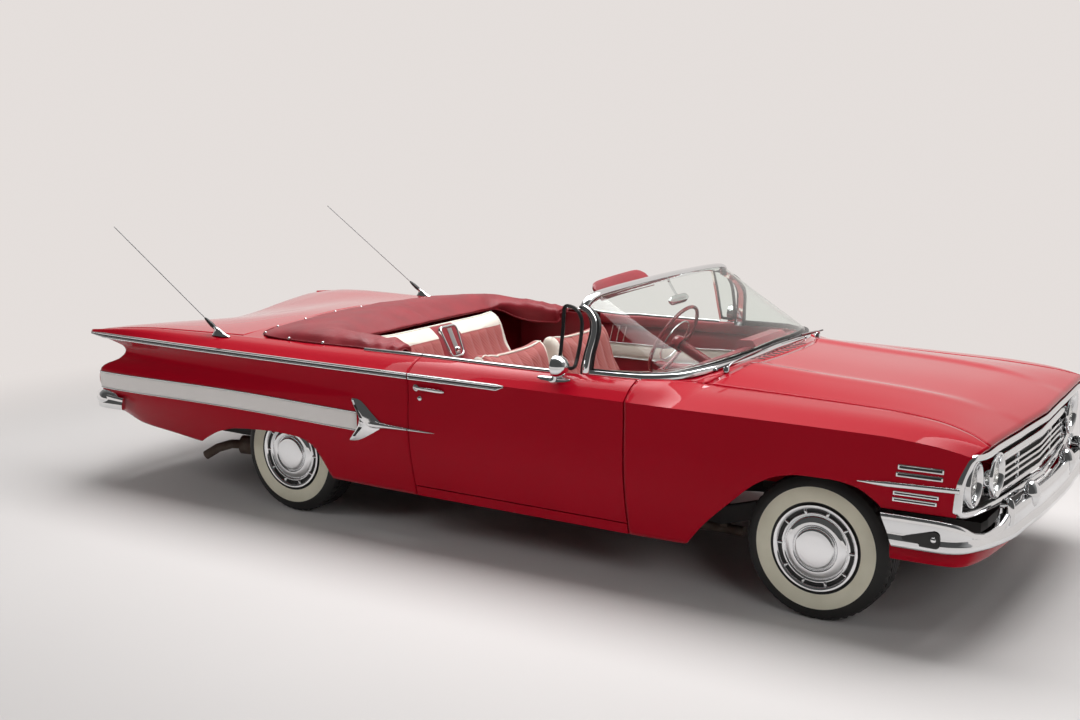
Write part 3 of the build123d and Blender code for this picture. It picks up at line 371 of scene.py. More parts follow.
# The clear gloss shows most at a grazing view, as on waxed enamel.
tree = enamel.node_tree
glance = add_node(tree, "LayerWeight")
gloss = add_node(tree, "MapRange", Value=glance.outputs["Facing"], From_Min=0.35, From_Max=0.8, To_Min=0.1,
                 To_Max=0.9)
tree.links.new(gloss.outputs["Result"], tree.nodes["Principled BSDF"].inputs["Coat Weight"])
SIDES = ((1, "left"), (-1, "right"))
AXLE_Z = 328
FRONT_AXLE_X = 1819.5
REAR_AXLE_X = -1203.5
FRONT_ARCH = [(-586, 258), (-480, 382), (-328, 525), (-230, 609), (-130, 659), (-30, 678), (100, 680),
              (203, 666), (297, 615), (350, 560)]
REAR_ARCH = [(-602, 320), (-506, 375), (-388, 429), (-269, 460), (-139, 474), (50, 482), (192, 476),
             (288, 440), (332, 377), (389, 258)]
FENDER_LOW_Z = 592
FENDER_NOSE = [(0, 2530), (1, 2516), (2, 2488), (3, 2464), (4, 2448), (5, 2442), (7, 2442)]
QUARTER_TAIL = [(0, -2605), (1, -2608), (2, -2610), (2.49, -2459), (2.75, -2393), (3, -2381), (3.54, -2415),
                (3.91, -2508), (4.11, -2545), (4.61, -2567), (5, -2555), (6, -2530), (7, -2500)]


def fender_low(x):
    ahead = x - FRONT_AXLE_X
    if ahead < FRONT_ARCH[0][0]:
        return 0
    return max(line_at(FRONT_ARCH, ahead)[0], FENDER_LOW_Z if ahead > 300 else 0)


def quarter_low(x):
    ahead = x - REAR_AXLE_X
    if not REAR_ARCH[0][0] <= ahead <= REAR_ARCH[-1][0]:
        return 0
    return line_at(REAR_ARCH, ahead)[0]


DOOR_FRONT_X = 943
DOOR_REAR_X = -262
DOOR_BOTTOM_Z = 318
DOOR_INNER_W = 872
fender_rows = side_rows(spaced(951, 2560, 14), FENDER_TOP, fender_low, end_reach(2200, 2560, FENDER_NOSE))
quarter_rows = side_rows(spaced(-2612, DOOR_REAR_X - PANEL_GAP, 14), QUARTER_TOP, quarter_low,
                         end_reach(-2150, -2612, QUARTER_TAIL))
door_rows = side_rows(spaced(DOOR_REAR_X, DOOR_FRONT_X, 30), BELT_LINE, lambda x: DOOR_BOTTOM_Z)
for side, hand in SIDES:
    skin_piece(f"fender_skin_{hand}", fender_rows, side, "body", f"fender_{hand}")
    skin_piece(f"quarter_skin_{hand}", quarter_rows, side, "body", f"quarter_{hand}")
dress("aprons", enamel)
dress("rockers", enamel)


def close_up(piece, sharp_deg, merge=0.05):
    """Joins points nearer than merge, turns the faces outwards and keeps edges over an angle crisp."""
    work = bmesh.new()
    work.from_mesh(piece.data)
    bmesh.ops.remove_doubles(work, verts=work.verts, dist=merge * MM)
    bmesh.ops.recalc_face_normals(work, faces=work.faces)
    work.to_mesh(piece.data)
    work.free()
    piece.data.set_sharp_from_angle(angle=math.radians(sharp_deg))
    return piece


def closed_piece(name, rings, material, sharp_deg=35, body="body"):
    """A solid through closed rings of points, with flat ends."""
    count = len(rings[0])
    points = [p for ring in rings for p in ring]
    faces = grid_faces(len(rings), count, closed=True)
    faces += [list(range(count)), list(range(len(points) - count, len(points)))]
    return close_up(new_piece(name, points, faces, material, body), sharp_deg, 0.1)


for side, hand in SIDES:
    rings = []
    for row in door_rows:
        x, top = row[0][0], row[0][2]
        inner = [(x, DOOR_INNER_W, DOOR_BOTTOM_Z), (x, DOOR_INNER_W, 640), (x, DOOR_INNER_W, top - 8)]
        rings.append([(px, side * w, z) for px, w, z in row + inner])
    piece = closed_piece(f"door_shell_{hand}", rings, enamel, body=f"door_{hand}")
    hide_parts(f"door_{hand}")

# Hood and trunk lid: one stamped steel sheet each, crowned and painted like the sides. The hood has two
# long ridges and ends in an arc before the glass; the trunk lid sinks to a valley between the wings.
HOOD_CENTRE = [(1170, 1017), (1330, 1009), (1600, 993), (2000, 973), (2250, 949), (2420, 913),
               (2520, 881), (2562, 860)]
LID_CENTRE = [(-2640, 812), (-2450, 852), (-2250, 892), (-2000, 934), (-1750, 972), (-1500, 996)]
HOOD_RIDGE_W = 400
HOOD_ARC = (1334, 2058.8)
LID_FRONT_X = -1506
LID_ROWS, LID_COLUMNS = 48, 72
LID_SKIN = 18


def hood_half(x):
    """Corners of the hood from its side edge to the centre."""
    w, z = line_at(FENDER_TOP, max(x, 1215))
    centre = line_at(HOOD_CENTRE, x)[0]
    w -= PANEL_GAP
    ridge = max(0, min(1, (2480 - x) / 300))
    shoulder = z + 0.66 * (centre - z)
    return [(w, z), (0.8 * w, shoulder), (HOOD_RIDGE_W, centre + 8 * ridge - 2),
            (HOOD_RIDGE_W - 62, centre - 4 * ridge + 1), (0, centre + 4)]


def lid_half(x):
    """Corners of the trunk lid from the wing down to the valley at the centre."""
    w, z = line_at(QUARTER_TOP, x)
    centre = line_at(LID_CENTRE, x)[0]
    rise = z - centre
    return [(w - PANEL_GAP, z + 1), (0.86 * w, z + 4 - 0.05 * rise), (0.55 * w, centre + 0.62 * rise + 4),
            (0.25 * w, centre + 0.16 * rise + 2), (0, centre)]


def height_at(chain, w):
    """Height of a chain of (place, half width, height) points at half width w."""
    for (_, w0, z0), (_, w1, z1) in zip(chain, chain[1:]):
        if w >= w1:
            return z0 + (z1 - z0) * (w0 - w) / (w0 - w1 + 1e-9)
    return chain[-1][2]


def lid_points(half, rear, front, along_count, across_count):
    """Grid points of a crowned sheet between its rear and front edges in plan."""
    points = []
    for i in range(along_count + 1):
        for j in range(across_count + 1):
            v = 2 * j / across_count - 1
            x = (rear(0) + front(0)) / 2
            for _ in range(4):
                w = abs(v) * half(x)[0][0]
                x = rear(w) + (front(w) - rear(w)) * i / along_count
            corners = half(x)
            w = abs(v) * corners[0][0]
            chain = rounded([*corners, (-corners[3][0], corners[3][1])])
            points.append((x, math.copysign(w, v), height_at(chain, w)))
    return points


def hood_rear(w):
    centre, radius = HOOD_ARC
    return centre - radius + math.sqrt(radius ** 2 - w * w)


def hood_front(w):
    return 2559 - 0.0371 * w


for name, half, rear, front in (
        ("hood", hood_half, hood_rear, hood_front),
        ("trunk_lid", lid_half, lambda w: -2452 - 0.138 * w, lambda w: LID_FRONT_X)):
    points = lid_points(half, rear, front, LID_ROWS, LID_COLUMNS)
    piece = new_piece(f"{name}_skin", points, grid_faces(LID_ROWS + 1, LID_COLUMNS + 1), enamel, name)
    thicken(piece, LID_SKIN)
    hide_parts(name)
dress("deck_filler", enamel)

# Rear arches: half-round steel tubs inside the quarters, sprayed with rough dark sealer.
LINER_RADIUS, LINER_INNER_W, LINER_OUTER_W, LINER_LOW_Z = 385, 604, 962, 424
LINER_ROWS = 48
sealer = surface("arch_sealer", (0.01, 0.01, 0.01), (0.022, 0.021, 0.02), (0.7, 0.9), (14, 300), 0.7,
                 slot="dark_steel")
start = math.asin((LINER_LOW_Z - AXLE_Z) / LINER_RADIUS)
for side, hand in SIDES:
    points = []
    section = [(0.55, LINER_INNER_W), (0.8, LINER_INNER_W), (0.97, LINER_INNER_W + 2),
               (1, LINER_INNER_W + 14), (1, LINER_OUTER_W - 120), (1, LINER_OUTER_W)]
    for k in range(LINER_ROWS + 1):
        a = start + (math.pi - 2 * start) * k / LINER_ROWS
        for share, w in section:
            z = max(AXLE_Z + LINER_RADIUS * share * math.sin(a), LINER_LOW_Z)
            points.append((REAR_AXLE_X + LINER_RADIUS * share * math.cos(a), side * w, z))
    liner = new_piece(f"arch_liner_{hand}", points, grid_faces(LINER_ROWS + 1, len(section), side < 0),
                      sealer)
    tidy_mesh(liner)
    thicken(liner, 4)
    if side > 0:
        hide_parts("wheelhouses")

# Wheels: bias-ply rubber tyres with a broad cream wall, on steel wheels under full chromed covers. A cover
# is pressed in rings round a plain dome, with dark painted slots and bright pods between them.
TYRE_SEGMENTS = 162
TYRE_MIDS = {"front": 766, "rear": 753}
WHITEWALL = (204, 272)
TREAD_ROW = 3
TREAD_CUT = 5
TREAD_RADIUS, TREAD_INNER = 318, 45
POD_ARC = 9


def curve(corners, straight=4, turn=6):
    """Points of a chain of corners that are turned by smooth arcs."""
    return [point[1:] for point in rounded(corners, (), straight, turn)]


def turns(count):
    """Angles that part a full turn evenly."""
    return [2 * math.pi * k / count for k in range(count)]


def spun(name, profile, segments, centre, side, body, material, closed=False, wave=None):
    """A turned piece about a line across the car, over rows of (distance out, radius)."""
    points = []
    for k, a in enumerate(turns(segments)):
        for out, r in profile:
            r += wave(k, out, r) if wave else 0
            points.append((centre[0] + r * math.cos(a), side * (centre[1] + out),
                           centre[2] + r * math.sin(a)))
    faces = grid_faces(segments, len(profile), closed=closed, ring=True)
    return close_up(new_piece(name, points, faces, material, body), 38)


def tread_wave(k, out, r):
    """Cross cuts of the tread's outer ribs, staggered from side to side."""
    if r < TREAD_RADIUS or abs(out) < TREAD_INNER:
        return 0
    return -TREAD_CUT if (k + (out > 0)) % TREAD_ROW == 0 else 0


rubber = surface("tyre_rubber", (0.008, 0.008, 0.008), (0.02, 0.019, 0.018), (0.5, 0.72), (7, 260), 0.35,
                 slot="tyre")
whitewall = surface("cream_wall", (0.68, 0.65, 0.51), (0.76, 0.73, 0.59), (0.42, 0.6), (9, 240), 0.1)
chrome = surface("chrome", (0.71, 0.72, 0.73), (0.78, 0.79, 0.8), (0.03, 0.09), (3, 60), metallic=1.0,
                 slot="chrome")
slot_black = surface("slot_black", (0.006, 0.006, 0.006), (0.016, 0.016, 0.016), (0.3, 0.5), (10, 200), 0.1,
                     slot="dark_steel")
satin_steel = surface("satin_steel", (0.36, 0.36, 0.37), (0.48, 0.48, 0.49), (0.25, 0.42), (12, 300), 0.1,
                      metallic=1.0, slot="bare_steel")
side_curve = curve([(76, 178), (97, 200), (102, 250), (95, 294), (78, 322), (62, 327.4)])
ribs = [(62, 328), (45, 328), (44, 321), (40, 321), (39, 328), (17, 328), (16, 321), (12, 321), (11, 328)]
half_tyre = side_curve + ribs
tyre_profile = half_tyre + [(-out, r) for out, r in half_tyre[::-1]]
cover_profile = curve([(88, 181), (95, 193), (101, 192), (99, 180), (93, 174), (85, 171), (83, 165),
                       (85, 159), (92, 155), (91, 147), (85, 142), (91, 136), (98, 118), (99, 104),
                       (92, 97), (95, 91), (105, 89), (109, 82), (111, 60), (112, 0)], 2, 4)
rim_profile = [(-96, 190), (-90, 190), (-77, 178), (77, 178), (92, 190)]
slots_profile = [(90.5, 172.6), (86, 170.5), (84.2, 165), (86, 159.8), (89.5, 157)]
POD = curve([(0, 0), (0, 7), (8, 9), (18, 9), (26, 5), (28, 0)], 2, 3)
PODS = 10
POD_FOOT = (151, 86)
for end, mid in TYRE_MIDS.items():
    axle_x = FRONT_AXLE_X if end == "front" else REAR_AXLE_X
    for side, hand in SIDES:
        centre, body = (axle_x, mid, AXLE_Z), f"wheel_{end}_{hand}"
        tyre = spun(f"tyre_tread_{end}_{hand}", tyre_profile, TYRE_SEGMENTS, centre, side, body, rubber,
                    True, tread_wave)
        tyre.data.materials.append(whitewall)
        for face in tyre.data.polygons:
            p = face.center / MM - Vector((axle_x + DATUM, side * mid, AXLE_Z))
            if side * p.y > 70 and WHITEWALL[0] < math.hypot(p.x, p.z) < WHITEWALL[1]:
                face.material_index = 1
        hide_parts(f"tyre_{end}_{hand}")
        cover = spun(f"wheel_cover_{end}_{hand}", cover_profile, 120, centre, side, body, chrome)
        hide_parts(f"wheel_{end}_{hand}")
        spun(f"wheel_rim_{end}_{hand}", rim_profile, 72, centre, side, body, satin_steel)
        spun(f"wheel_slots_{end}_{hand}", slots_profile, 120, centre, side, body, slot_black)
        points, faces = [], []
        for k, a in enumerate(turns(PODS)):
            radial, turn = Vector((math.cos(a), 0, math.sin(a))), Vector((-math.sin(a), 0, math.cos(a)))
            for far, half in POD:
                for n in range(POD_ARC):
                    b = math.pi * n / (POD_ARC - 1)
                    p = radial * (POD_FOOT[0] + far) + turn * half * math.cos(b)
                    p.y = POD_FOOT[1] + 1.3 * half * math.sin(b)
                    points.append((centre[0] + p.x, side * (mid + p.y), centre[2] + p.z))
            base = k * len(POD) * POD_ARC
            faces += [[base + i for i in quad] for quad in grid_faces(len(POD), POD_ARC)]
        pods = new_piece(f"wheel_pods_{end}_{hand}", points, faces, chrome, body)
        tidy_mesh(pods, 0.05)

# Side trim: bright rolled mouldings clipped over the fin's edge and along the belt, a silver painted spear
# with thin bright borders on the pod, a cast winged ornament at its front, slotted louvres and a spear on
# the front fender.


def on_side(x, z, top_line):
    """Half width and outward direction (half width, height) of the body side at a station and height."""
    chain = [p for p in side_section(x, top_line) if p[0] >= EDGE_CORNER]
    for (_, w0, z0), (_, w1, z1) in zip(chain, chain[1:]):
        if z0 >= z >= z1 and z0 > z1:
            share = (z0 - z) / (z0 - z1)
            return w0 + (w1 - w0) * share, Vector((z0 - z1, w1 - w0)).normalized()
    return chain[-1][1], Vector((1, 0))


def swept(name, path, outs, outline, material, scales=None, body="body"):
    """A bar of one outline of (out, up) along a path, with its outward direction given at each point."""
    rings, last = [], None
    for i, p in enumerate(path):
        run = (Vector(path[min(i + 1, len(path) - 1)]) - Vector(path[max(i - 1, 0)])).normalized()
        out = Vector(outs[i] if isinstance(outs, list) else outs)
        out = (out - run * out.dot(run)).normalized()
        up = run.cross(out)
        upright = up.dot(last) > 0 if last else up.z > 0 or (abs(up.z) < 0.05 and up.x > 0)
        last = up = up if upright else -up
        k = scales[i] if scales else 1
        rings.append([tuple(Vector(p) + out * a * k + up * b * k) for a, b in outline])
    return closed_piece(name, rings, material, 40, body)


def stud(name, spot, way, rows, segments, sharp_deg, body="body"):
    """A round chromed head over rows of (height, radius), standing out from a spot along Y or Z."""
    spot, way = Vector(spot), Vector(way)
    around = Vector((0, 0, 1)) if way.y else Vector((0, 1, 0))
    rings = [[tuple(spot + way * rise + Vector((r * math.cos(a), 0, 0)) + around * r * math.sin(a))
              for a in turns(segments)] for rise, r in rows]
    return closed_piece(name, rings, chrome, sharp_deg, body)


def mirrored(points, side):
    return [(x, side * y, z) for x, y, z in points]


def soft_outline(corners, turn=4):
    """An outline with rounded corners, as (out, up) points."""
    return curve(corners, 1, turn)


silver = surface("silver_paint", (0.74, 0.71, 0.69), (0.8, 0.77, 0.75), (0.26, 0.34), (3, 500), 0.02,
                 metallic=0.1, coat_weight=0.5, coat_roughness=0.05, slot="aluminium")
EDGE_BEAD = soft_outline([(-4, 6), (5, 4), (7, 0), (6, -5), (2.5, -7), (2.5, -14), (6, -16), (7, -21),
                          (5, -25), (-4, -27)])
EDGE_LINE_DARK = [(2, -7.5), (3.4, -8), (3.4, -13), (2, -13.5)]
BELT_CAP = soft_outline([(-13, -4), (-12, 4), (-8, 7), (8, 7), (13, 3), (15, -5), (12, -8), (-10, -8)])
STRIPE_TOP = [(-2556, 661), (-1527, 678), (-590, 663)]
STRIPE_LOW = [(-2556, 566), (-1527, 583), (-590, 568)]
BORDER = soft_outline([(-2, 4), (4, 3), (5, 0), (4, -3), (-2, -4)])
LOUVRES = [(2204, 2387, 773, 22), (2198, 2385, 742, 20), (2190, 2373, 664, 18), (2188, 2366, 637, 18)]
SPEAR = [(2038, 692), (2120, 694), (2240, 698), (2350, 701), (2452, 704)]
HANDLE_Z = 830
BEAD_TAIL_X, BEAD_TIP_X = -2606, 302
BELT_CAP_ENDS = (-640, 520)
STRIPE_COLUMNS, STRIPE_LIFT = 9, 2.5
ORNAMENT_Z = 613
ORNAMENT_REAR = [(-574, 16, 8), (-560, 22, 16), (-520, 24, 20), (-460, 20, 20), (-400, 14, 17),
                 (-330, 10, 15), (-268.5, 8, 13)]
ORNAMENT_TIP = [(-261.5, 7.8, 12.8), (-200, 6, 11), (-140, 4, 8), (-104, 1.2, 3)]
UPPER_FIN = [(608, -566, -402, 20), (640, -574, -452, 19), (672, -592, -492, 17), (702, -610, -528, 14),
             (724, -622, -560, 10), (732, -622, -588, 4)]
LOWER_FIN = [(618, -572, -408, 20), (590, -584, -448, 18), (562, -604, -496, 15), (536, -626, -544, 11),
             (516, -644, -588, 7), (509, -648, -618, 3)]
DOOR_PULL = [(-226, 2, 0), (-214, 12, 1), (-190, 18, 2), (-130, 20, 2), (-80, 18, 0), (-56, 12, -2),
             (-44, 3, -4)]
for side, hand in SIDES:
    for part, body, top_line, x0, x1 in (
            ("quarter", "body", QUARTER_TOP, BEAD_TAIL_X, DOOR_REAR_X - PANEL_GAP),
            ("door", f"door_{hand}", BELT_LINE, DOOR_REAR_X, BEAD_TIP_X)):
        stations = spaced(x0, x1, 40)
        path = mirrored([(x, *line_at(EDGE_LINE, x)) for x in stations], side)
        taper = [min(1, 0.25 + (BEAD_TIP_X - x) / 30, 0.4 + (x - BEAD_TAIL_X) / 200) for x in stations]
        swept(f"edge_bead_{part}_{hand}", path, (0, side, 0), EDGE_BEAD, chrome, taper, body)
        swept(f"edge_line_{part}_{hand}", path, (0, side, 0), EDGE_LINE_DARK, slot_black, taper, body)
        x0, x1 = (BELT_CAP_ENDS[0], x1) if part == "quarter" else (x0, BELT_CAP_ENDS[1])
        path = mirrored([(x, line_at(top_line, x)[0] - 2, line_at(top_line, x)[1] + 3)
                         for x in spaced(x0, x1, 40)], side)
        swept(f"belt_cap_{part}_{hand}", path, (0, side, 0), BELT_CAP, chrome, body=body)
    stations = spaced(STRIPE_TOP[0][0], STRIPE_TOP[-1][0], 30)
    points, borders = [], ([], [])
    for x in stations:
        high, low = line_at(STRIPE_TOP, x)[0], line_at(STRIPE_LOW, x)[0]
        for k in range(STRIPE_COLUMNS):
            z = high + (low - high) * k / (STRIPE_COLUMNS - 1)
            w, out = on_side(x, z, QUARTER_TOP)
            points.append((x, side * (w + STRIPE_LIFT * out.x), z + STRIPE_LIFT * out.y))
        for line, z in zip(borders, (high, low)):
            w, out = on_side(x, z, QUARTER_TOP)
            line.append(((x, side * w, z), (0, side * out.x, out.y)))
    stripe = new_piece(f"stripe_{hand}", points, grid_faces(len(stations), STRIPE_COLUMNS, side < 0),
                       silver)
    thicken(stripe, 2)
    for label, line in zip(("top", "low"), borders):
        swept(f"stripe_border_{label}_{hand}", [p for p, _ in line], [o for _, o in line], BORDER, chrome)
    for k, (x0, x1, z, height) in enumerate(LOUVRES):
        for kind, material, inset, lift in (("rim", chrome, 0, 4), ("slot", slot_black, 6, 4.6)):
            h = height / 2 - inset * 0.8
            stations = spaced(x0 + inset, x1 - inset, 20)
            path = [(x, *on_side(x, z, FENDER_TOP)) for x in stations]
            outline = soft_outline([(-3, h), (lift - 1.5, h), (lift, h - 1.5), (lift, 1.5 - h),
                                    (lift - 1.5, -h), (-3, -h)], 2)
            swept(f"louvre_{kind}_{k}_{hand}", [(x, side * w, z) for x, w, _ in path],
                  [(0, side * out.x, out.y) for _, _, out in path], outline, material)
    path, outs = [], []
    for x in spaced(SPEAR[0][0], SPEAR[-1][0], 18):
        z = line_at(SPEAR, x)[0]
        w, out = on_side(x, z, FENDER_TOP)
        path.append((x, side * w, z))
        outs.append((0, side * out.x, out.y))
    grow = [min(1, 0.2 + (p[0] - SPEAR[0][0]) / 150) for p in path]
    swept(f"fender_spear_{hand}", path, outs,
          soft_outline([(-3, 12), (6, 10), (9, 3), (8, -6), (5, -11), (-3, -12)]), chrome, grow)
    # The ornament is a blade with an upper and a lower fin on a long tapered spear, cut at the door's edge.
    for part, body, rows in (("rear", "body", ORNAMENT_REAR), ("tip", f"door_{hand}", ORNAMENT_TIP)):
        rings = []
        for x, half, out in rows:
            w = on_side(x, ORNAMENT_Z, QUARTER_TOP if part == "rear" else BELT_LINE)[0]
            rings.append([(x, side * (w - 2 + out * max(0, math.sin(a))), ORNAMENT_Z + half * math.cos(a))
                          for a in turns(16)])
        closed_piece(f"ornament_{part}_{hand}", rings, chrome, 50, body)
    for part, lean, rows in (("upper", 1, UPPER_FIN), ("lower", -1, LOWER_FIN)):
        # The rear facet of each fin is filled with dark paint.
        rings, facet = [], []
        for z, back, front, out in rows:
            w = on_side((back + front) / 2, z, QUARTER_TOP)[0]
            ridge = back + 0.3 * (front - back)
            rings.append([(back, side * (w - 2), z), (back, side * (w + 0.3 * out), z),
                          (ridge, side * (w + out), z), (ridge + 5, side * (w + out), z),
                          (front, side * (w + 0.2 * out), z), (front, side * (w - 2), z)])
            facet.append([(back + (ridge - back) * s, side * (w + (0.3 + 0.7 * s) * out + 1.2), z)
                          for s in (0.3, 0.45, 0.6, 0.75, 0.9)])
        closed_piece(f"ornament_{part}_{hand}", rings, chrome, 25)
        facet = facet[1:-2]
        shade = new_piece(f"ornament_facet_{part}_{hand}", [p for row in facet for p in row],
                          grid_faces(len(facet), 5, side * lean > 0), slot_black)
        thicken(shade, 1.5)
    # Door pull: a bowed bar on a round foot, with the lock's barrel below.
    door_w = on_side(-135, HANDLE_Z, BELT_LINE)[0]
    path = [(x, side * (door_w + out), HANDLE_Z + dz) for x, out, dz in DOOR_PULL]
    swept(f"door_pull_{hand}", path, (0, side, 0),
          soft_outline([(-4, 8), (2, 9), (4, 3), (4, -4), (2, -8), (-4, -8)]), chrome,
          [0.7, 0.95, 1, 1, 1, 0.85, 0.5], f"door_{hand}")
    for name, x, z, r in (("pull_foot", -214, HANDLE_Z, 17), ("door_lock", -192, 779, 13)):
        w = on_side(x, z, BELT_LINE)[0]
        dome = [(-3, r), (4, r), (8, 0.7 * r), (9, 0.25 * r), (7, 0.2 * r)]
        stud(f"{name}_{hand}", (x, side * w, z), (0, side, 0), dome, 28, 45, f"door_{hand}")

# Bumpers: heavy pressed steel bars, chromed, with a rolled lower lip. The front one dips below the lamps,
# carries two round guards and two upright blades, and wraps the fenders in a plate with a dark recess and
# one dome-headed bolt.
FRONT_BAR = [(2622, 0, 436, 572), (2621, 150, 436, 574), (2618, 270, 436, 577), (2614, 330, 436, 582),
             (2609, 390, 436, 566), (2601, 560, 436, 562), (2594, 640, 437, 560), (2580, 720, 439, 524),
             (2556, 820, 441, 508), (2530, 890, 443, 518), (2500, 948, 444, 545), (2462, 985, 445, 565),
             (2410, 1007, 445, 576), (2330, 1015, 445, 580), (2205, 1019, 445, 580)]
REAR_BAR = [(-2731, 0, 414, 536), (-2722, 400, 416, 538), (-2698, 700, 420, 541), (-2652, 900, 430, 540),
            (-2600, 968, 440, 536), (-2540, 1000, 448, 534), (-2460, 1012, 452, 532),
            (-2345, 1018, 456, 528)]
BAR_FACE = [(-56, 0, 6), (-16, 0, 0), (0, 0, 10), (0, 0, 34), (-9, 0, 42), (-15, 0, 58), (-11, 1, -26),
            (-16, 1, -7), (-27, 1, 0), (-58, 1, -6)]
END_RAKE, RAKED_SHARE = 58, 0.12


def smooth_path(points, steps):
    """A smooth curve through points of any number of columns."""
    rows = [points[0], *points, points[-1]]
    out = []
    for a, b, c, d in zip(rows, rows[1:], rows[2:], rows[3:]):
        for k in range(steps):
            t = k / steps
            out.append(tuple(0.5 * (2 * q + (r - p) * t + (2 * p - 5 * q + 4 * r - s) * t * t
                                    + (3 * q - p - 3 * r + s) * t ** 3) for p, q, r, s in zip(a, b, c, d)))
    out.append(tuple(points[-1]))
    return out


def bumper_bar(name, rows, rake):
    """A bar across the car through rows of face x, half width, low and top height, the ends raked."""
    half = smooth_path(rows, 6)
    full = [(x, -w, low, top) for x, w, low, top in half[:0:-1]] + half
    heading = 1 if rows[0][0] > 0 else -1
    rings, middle = [], (len(full) - 1) / 2
    for i, (x, w, low, top) in enumerate(full):
        before, after = full[max(i - 1, 0)], full[min(i + 1, len(full) - 1)]
        run = Vector((after[0] - before[0], after[1] - before[1])).normalized()
        out = Vector((run.y, -run.x)) if heading > 0 else Vector((-run.y, run.x))
        thin = 1 - 0.5 * smooth_step((abs(w) - 900) / 110)
        corners = [(a * thin, low + b + (top - low if share else 0)) for a, share, b in BAR_FACE]
        lean = heading * rake * smooth_step(1 - (1 - abs(i - middle) / middle) / RAKED_SHARE)
        rings.append([(x + out.x * a - lean * (z - low) / (top - low), w + out.y * a, z)
                      for a, z in curve(corners, 2, 4)])
    return closed_piece(name, rings, chrome, 45)


front_bar = bumper_bar("front_bumper_bar", FRONT_BAR, END_RAKE)
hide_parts("front_bumper")
rear_bar = bumper_bar("rear_bumper_bar", REAR_BAR, 0)
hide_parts("rear_bumper")
BULLET = [(-2640, 6, 8), (-2634, 24, 30), (-2606, 40, 48), (-2560, 47, 57), (-2500, 48, 58),
          (-2452, 42, 50), (-2426, 28, 34), (-2416, 8, 10)]
BULLET_W, BULLET_Z, BULLET_TURN = 958, 500, 30
BLADE = [(500, 2520, 2592, 20), (548, 2524, 2594, 18), (586, 2530, 2590, 14), (606, 2538, 2582, 9),
         (614, 2548, 2570, 4)]
BLADE_W = 640
GUARD_X, GUARD_W, GUARD_Z = 2574, 330, 560
GUARD_RADIUS, GUARD_HALF, GUARD_ROWS = 46, 62, 16
RECESS = [(2226, 533), (2262, 541), (2396, 533), (2398, 476), (2386, 466), (2252, 468)]
BOLT = (2372, 1000, 502)
for side, hand in SIDES:
    rings = []
    for k in range(1, GUARD_ROWS):
        a = math.pi * k / GUARD_ROWS
        r, z = GUARD_RADIUS * math.sin(a), GUARD_Z - GUARD_HALF * math.cos(a)
        rings.append([(GUARD_X + r * math.cos(b) * (1 if math.cos(b) > 0 else 0.6),
                       side * GUARD_W + r * math.sin(b), z) for b in turns(28)])
    closed_piece(f"bumper_guard_{hand}", rings, chrome, 60)
    rings = [[((a + b) / 2 + (b - a) / 2 * math.cos(t),
               side * BLADE_W + half * math.sin(t) * (0.75 + 0.25 * math.cos(t)), z) for t in turns(24)]
             for z, a, b, half in BLADE]
    closed_piece(f"bumper_blade_{hand}", rings, chrome, 50)
    rings = []
    for x, half, tall in smooth_path(BULLET, 4):
        middle = BULLET_W - BULLET_TURN * smooth_step((-2520 - x) / 110)
        rings.append([(x, side * (middle + half * math.cos(a)), BULLET_Z + tall * math.sin(a))
                      for a in turns(28)])
    closed_piece(f"bumper_bullet_{hand}", rings, chrome, 60)
    outline = curve(RECESS + RECESS[:2], 2, 4)[8:-8]
    rings = [[(x, side * (BOLT[1] + out), z) for x, z in outline] for out in (8, 15.5)]
    closed_piece(f"bumper_recess_{hand}", rings, slot_black)
    stud(f"bumper_bolt_{hand}", mirrored([BOLT], side)[0], (0, side, 0),
         ((10, 13), (17, 13), (21, 11), (24, 7), (25, 2.5)), 24, 60)

# Front face: a bright rolled surround joins the hood's lip to the fender ends and frames a recess with
# chromed bars and four round lamps; the recess is closed by a sheet painted near black, partly for the
# grille's dark backing and partly as painted shade. Each lamp is a chromed ring round a fluted glass lens,
# with a bright reflector behind it.
LAMPS = [(2472, 860), (2508, 668)]
LAMP_Z = 712
LAMP_LENS = curve([(-10, 73), (-3, 71), (5, 48), (8, 20), (9, 0)])
LAMP_RING = curve([(-92, 92), (-30, 95), (6, 98), (17, 95), (19, 88), (12, 80), (2, 75), (-14, 71)])
LAMP_BOWL = curve([(-14, 71), (-26, 64), (-46, 40), (-54, 14), (-30, 12), (-26, 5), (-25, 0)])
hood_lip = [p for p in lid_points(hood_half, hood_rear, hood_front, 1, LID_COLUMNS)[LID_COLUMNS + 1:]
            if 0 <= p[1] <= 800]
nose = [(x + 5, w - 13, z - 3) for x, w, z in fender_rows[-1] if 604 < z < 846]
bottom = [(2452, 930, 592), (2466, 890, 584), (2490, 760, 578), (2516, 520, 574), (2538, 250, 571),
          (2545, 0, 570)]
half_loop = [(x - 8, y, z - 38) for x, y, z in hood_lip] + [(2518, 852, 826)] + nose + bottom
loop = smooth_path([*half_loop[::2], half_loop[-1]], 3)
loop += [(x, -y, z) for x, y, z in loop[-2:0:-1]]
for _ in range(5):
    loop = [tuple((Vector(a) + 2 * Vector(b) + Vector(c)) / 4)
            for a, b, c in zip(loop[-1:] + loop[:-1], loop, loop[1:] + loop[:1])]


def hoop(name, loop, outline, material, forward=(1, 0, 0), body="body"):
    """A band of one outline of (forward, across) round a closed loop of points."""
    points = []
    for i, p in enumerate(loop):
        run = (Vector(loop[(i + 1) % len(loop)]) - Vector(loop[i - 1])).normalized()
        out = Vector(forward)
        out = (out - run * out.dot(run)).normalized()
        across = run.cross(out)
        points += [tuple(Vector(p) + out * a + across * b) for a, b in outline]
    faces = grid_faces(len(loop), len(outline), closed=True, ring=True)
    return close_up(new_piece(name, points, faces, material, body), 45)


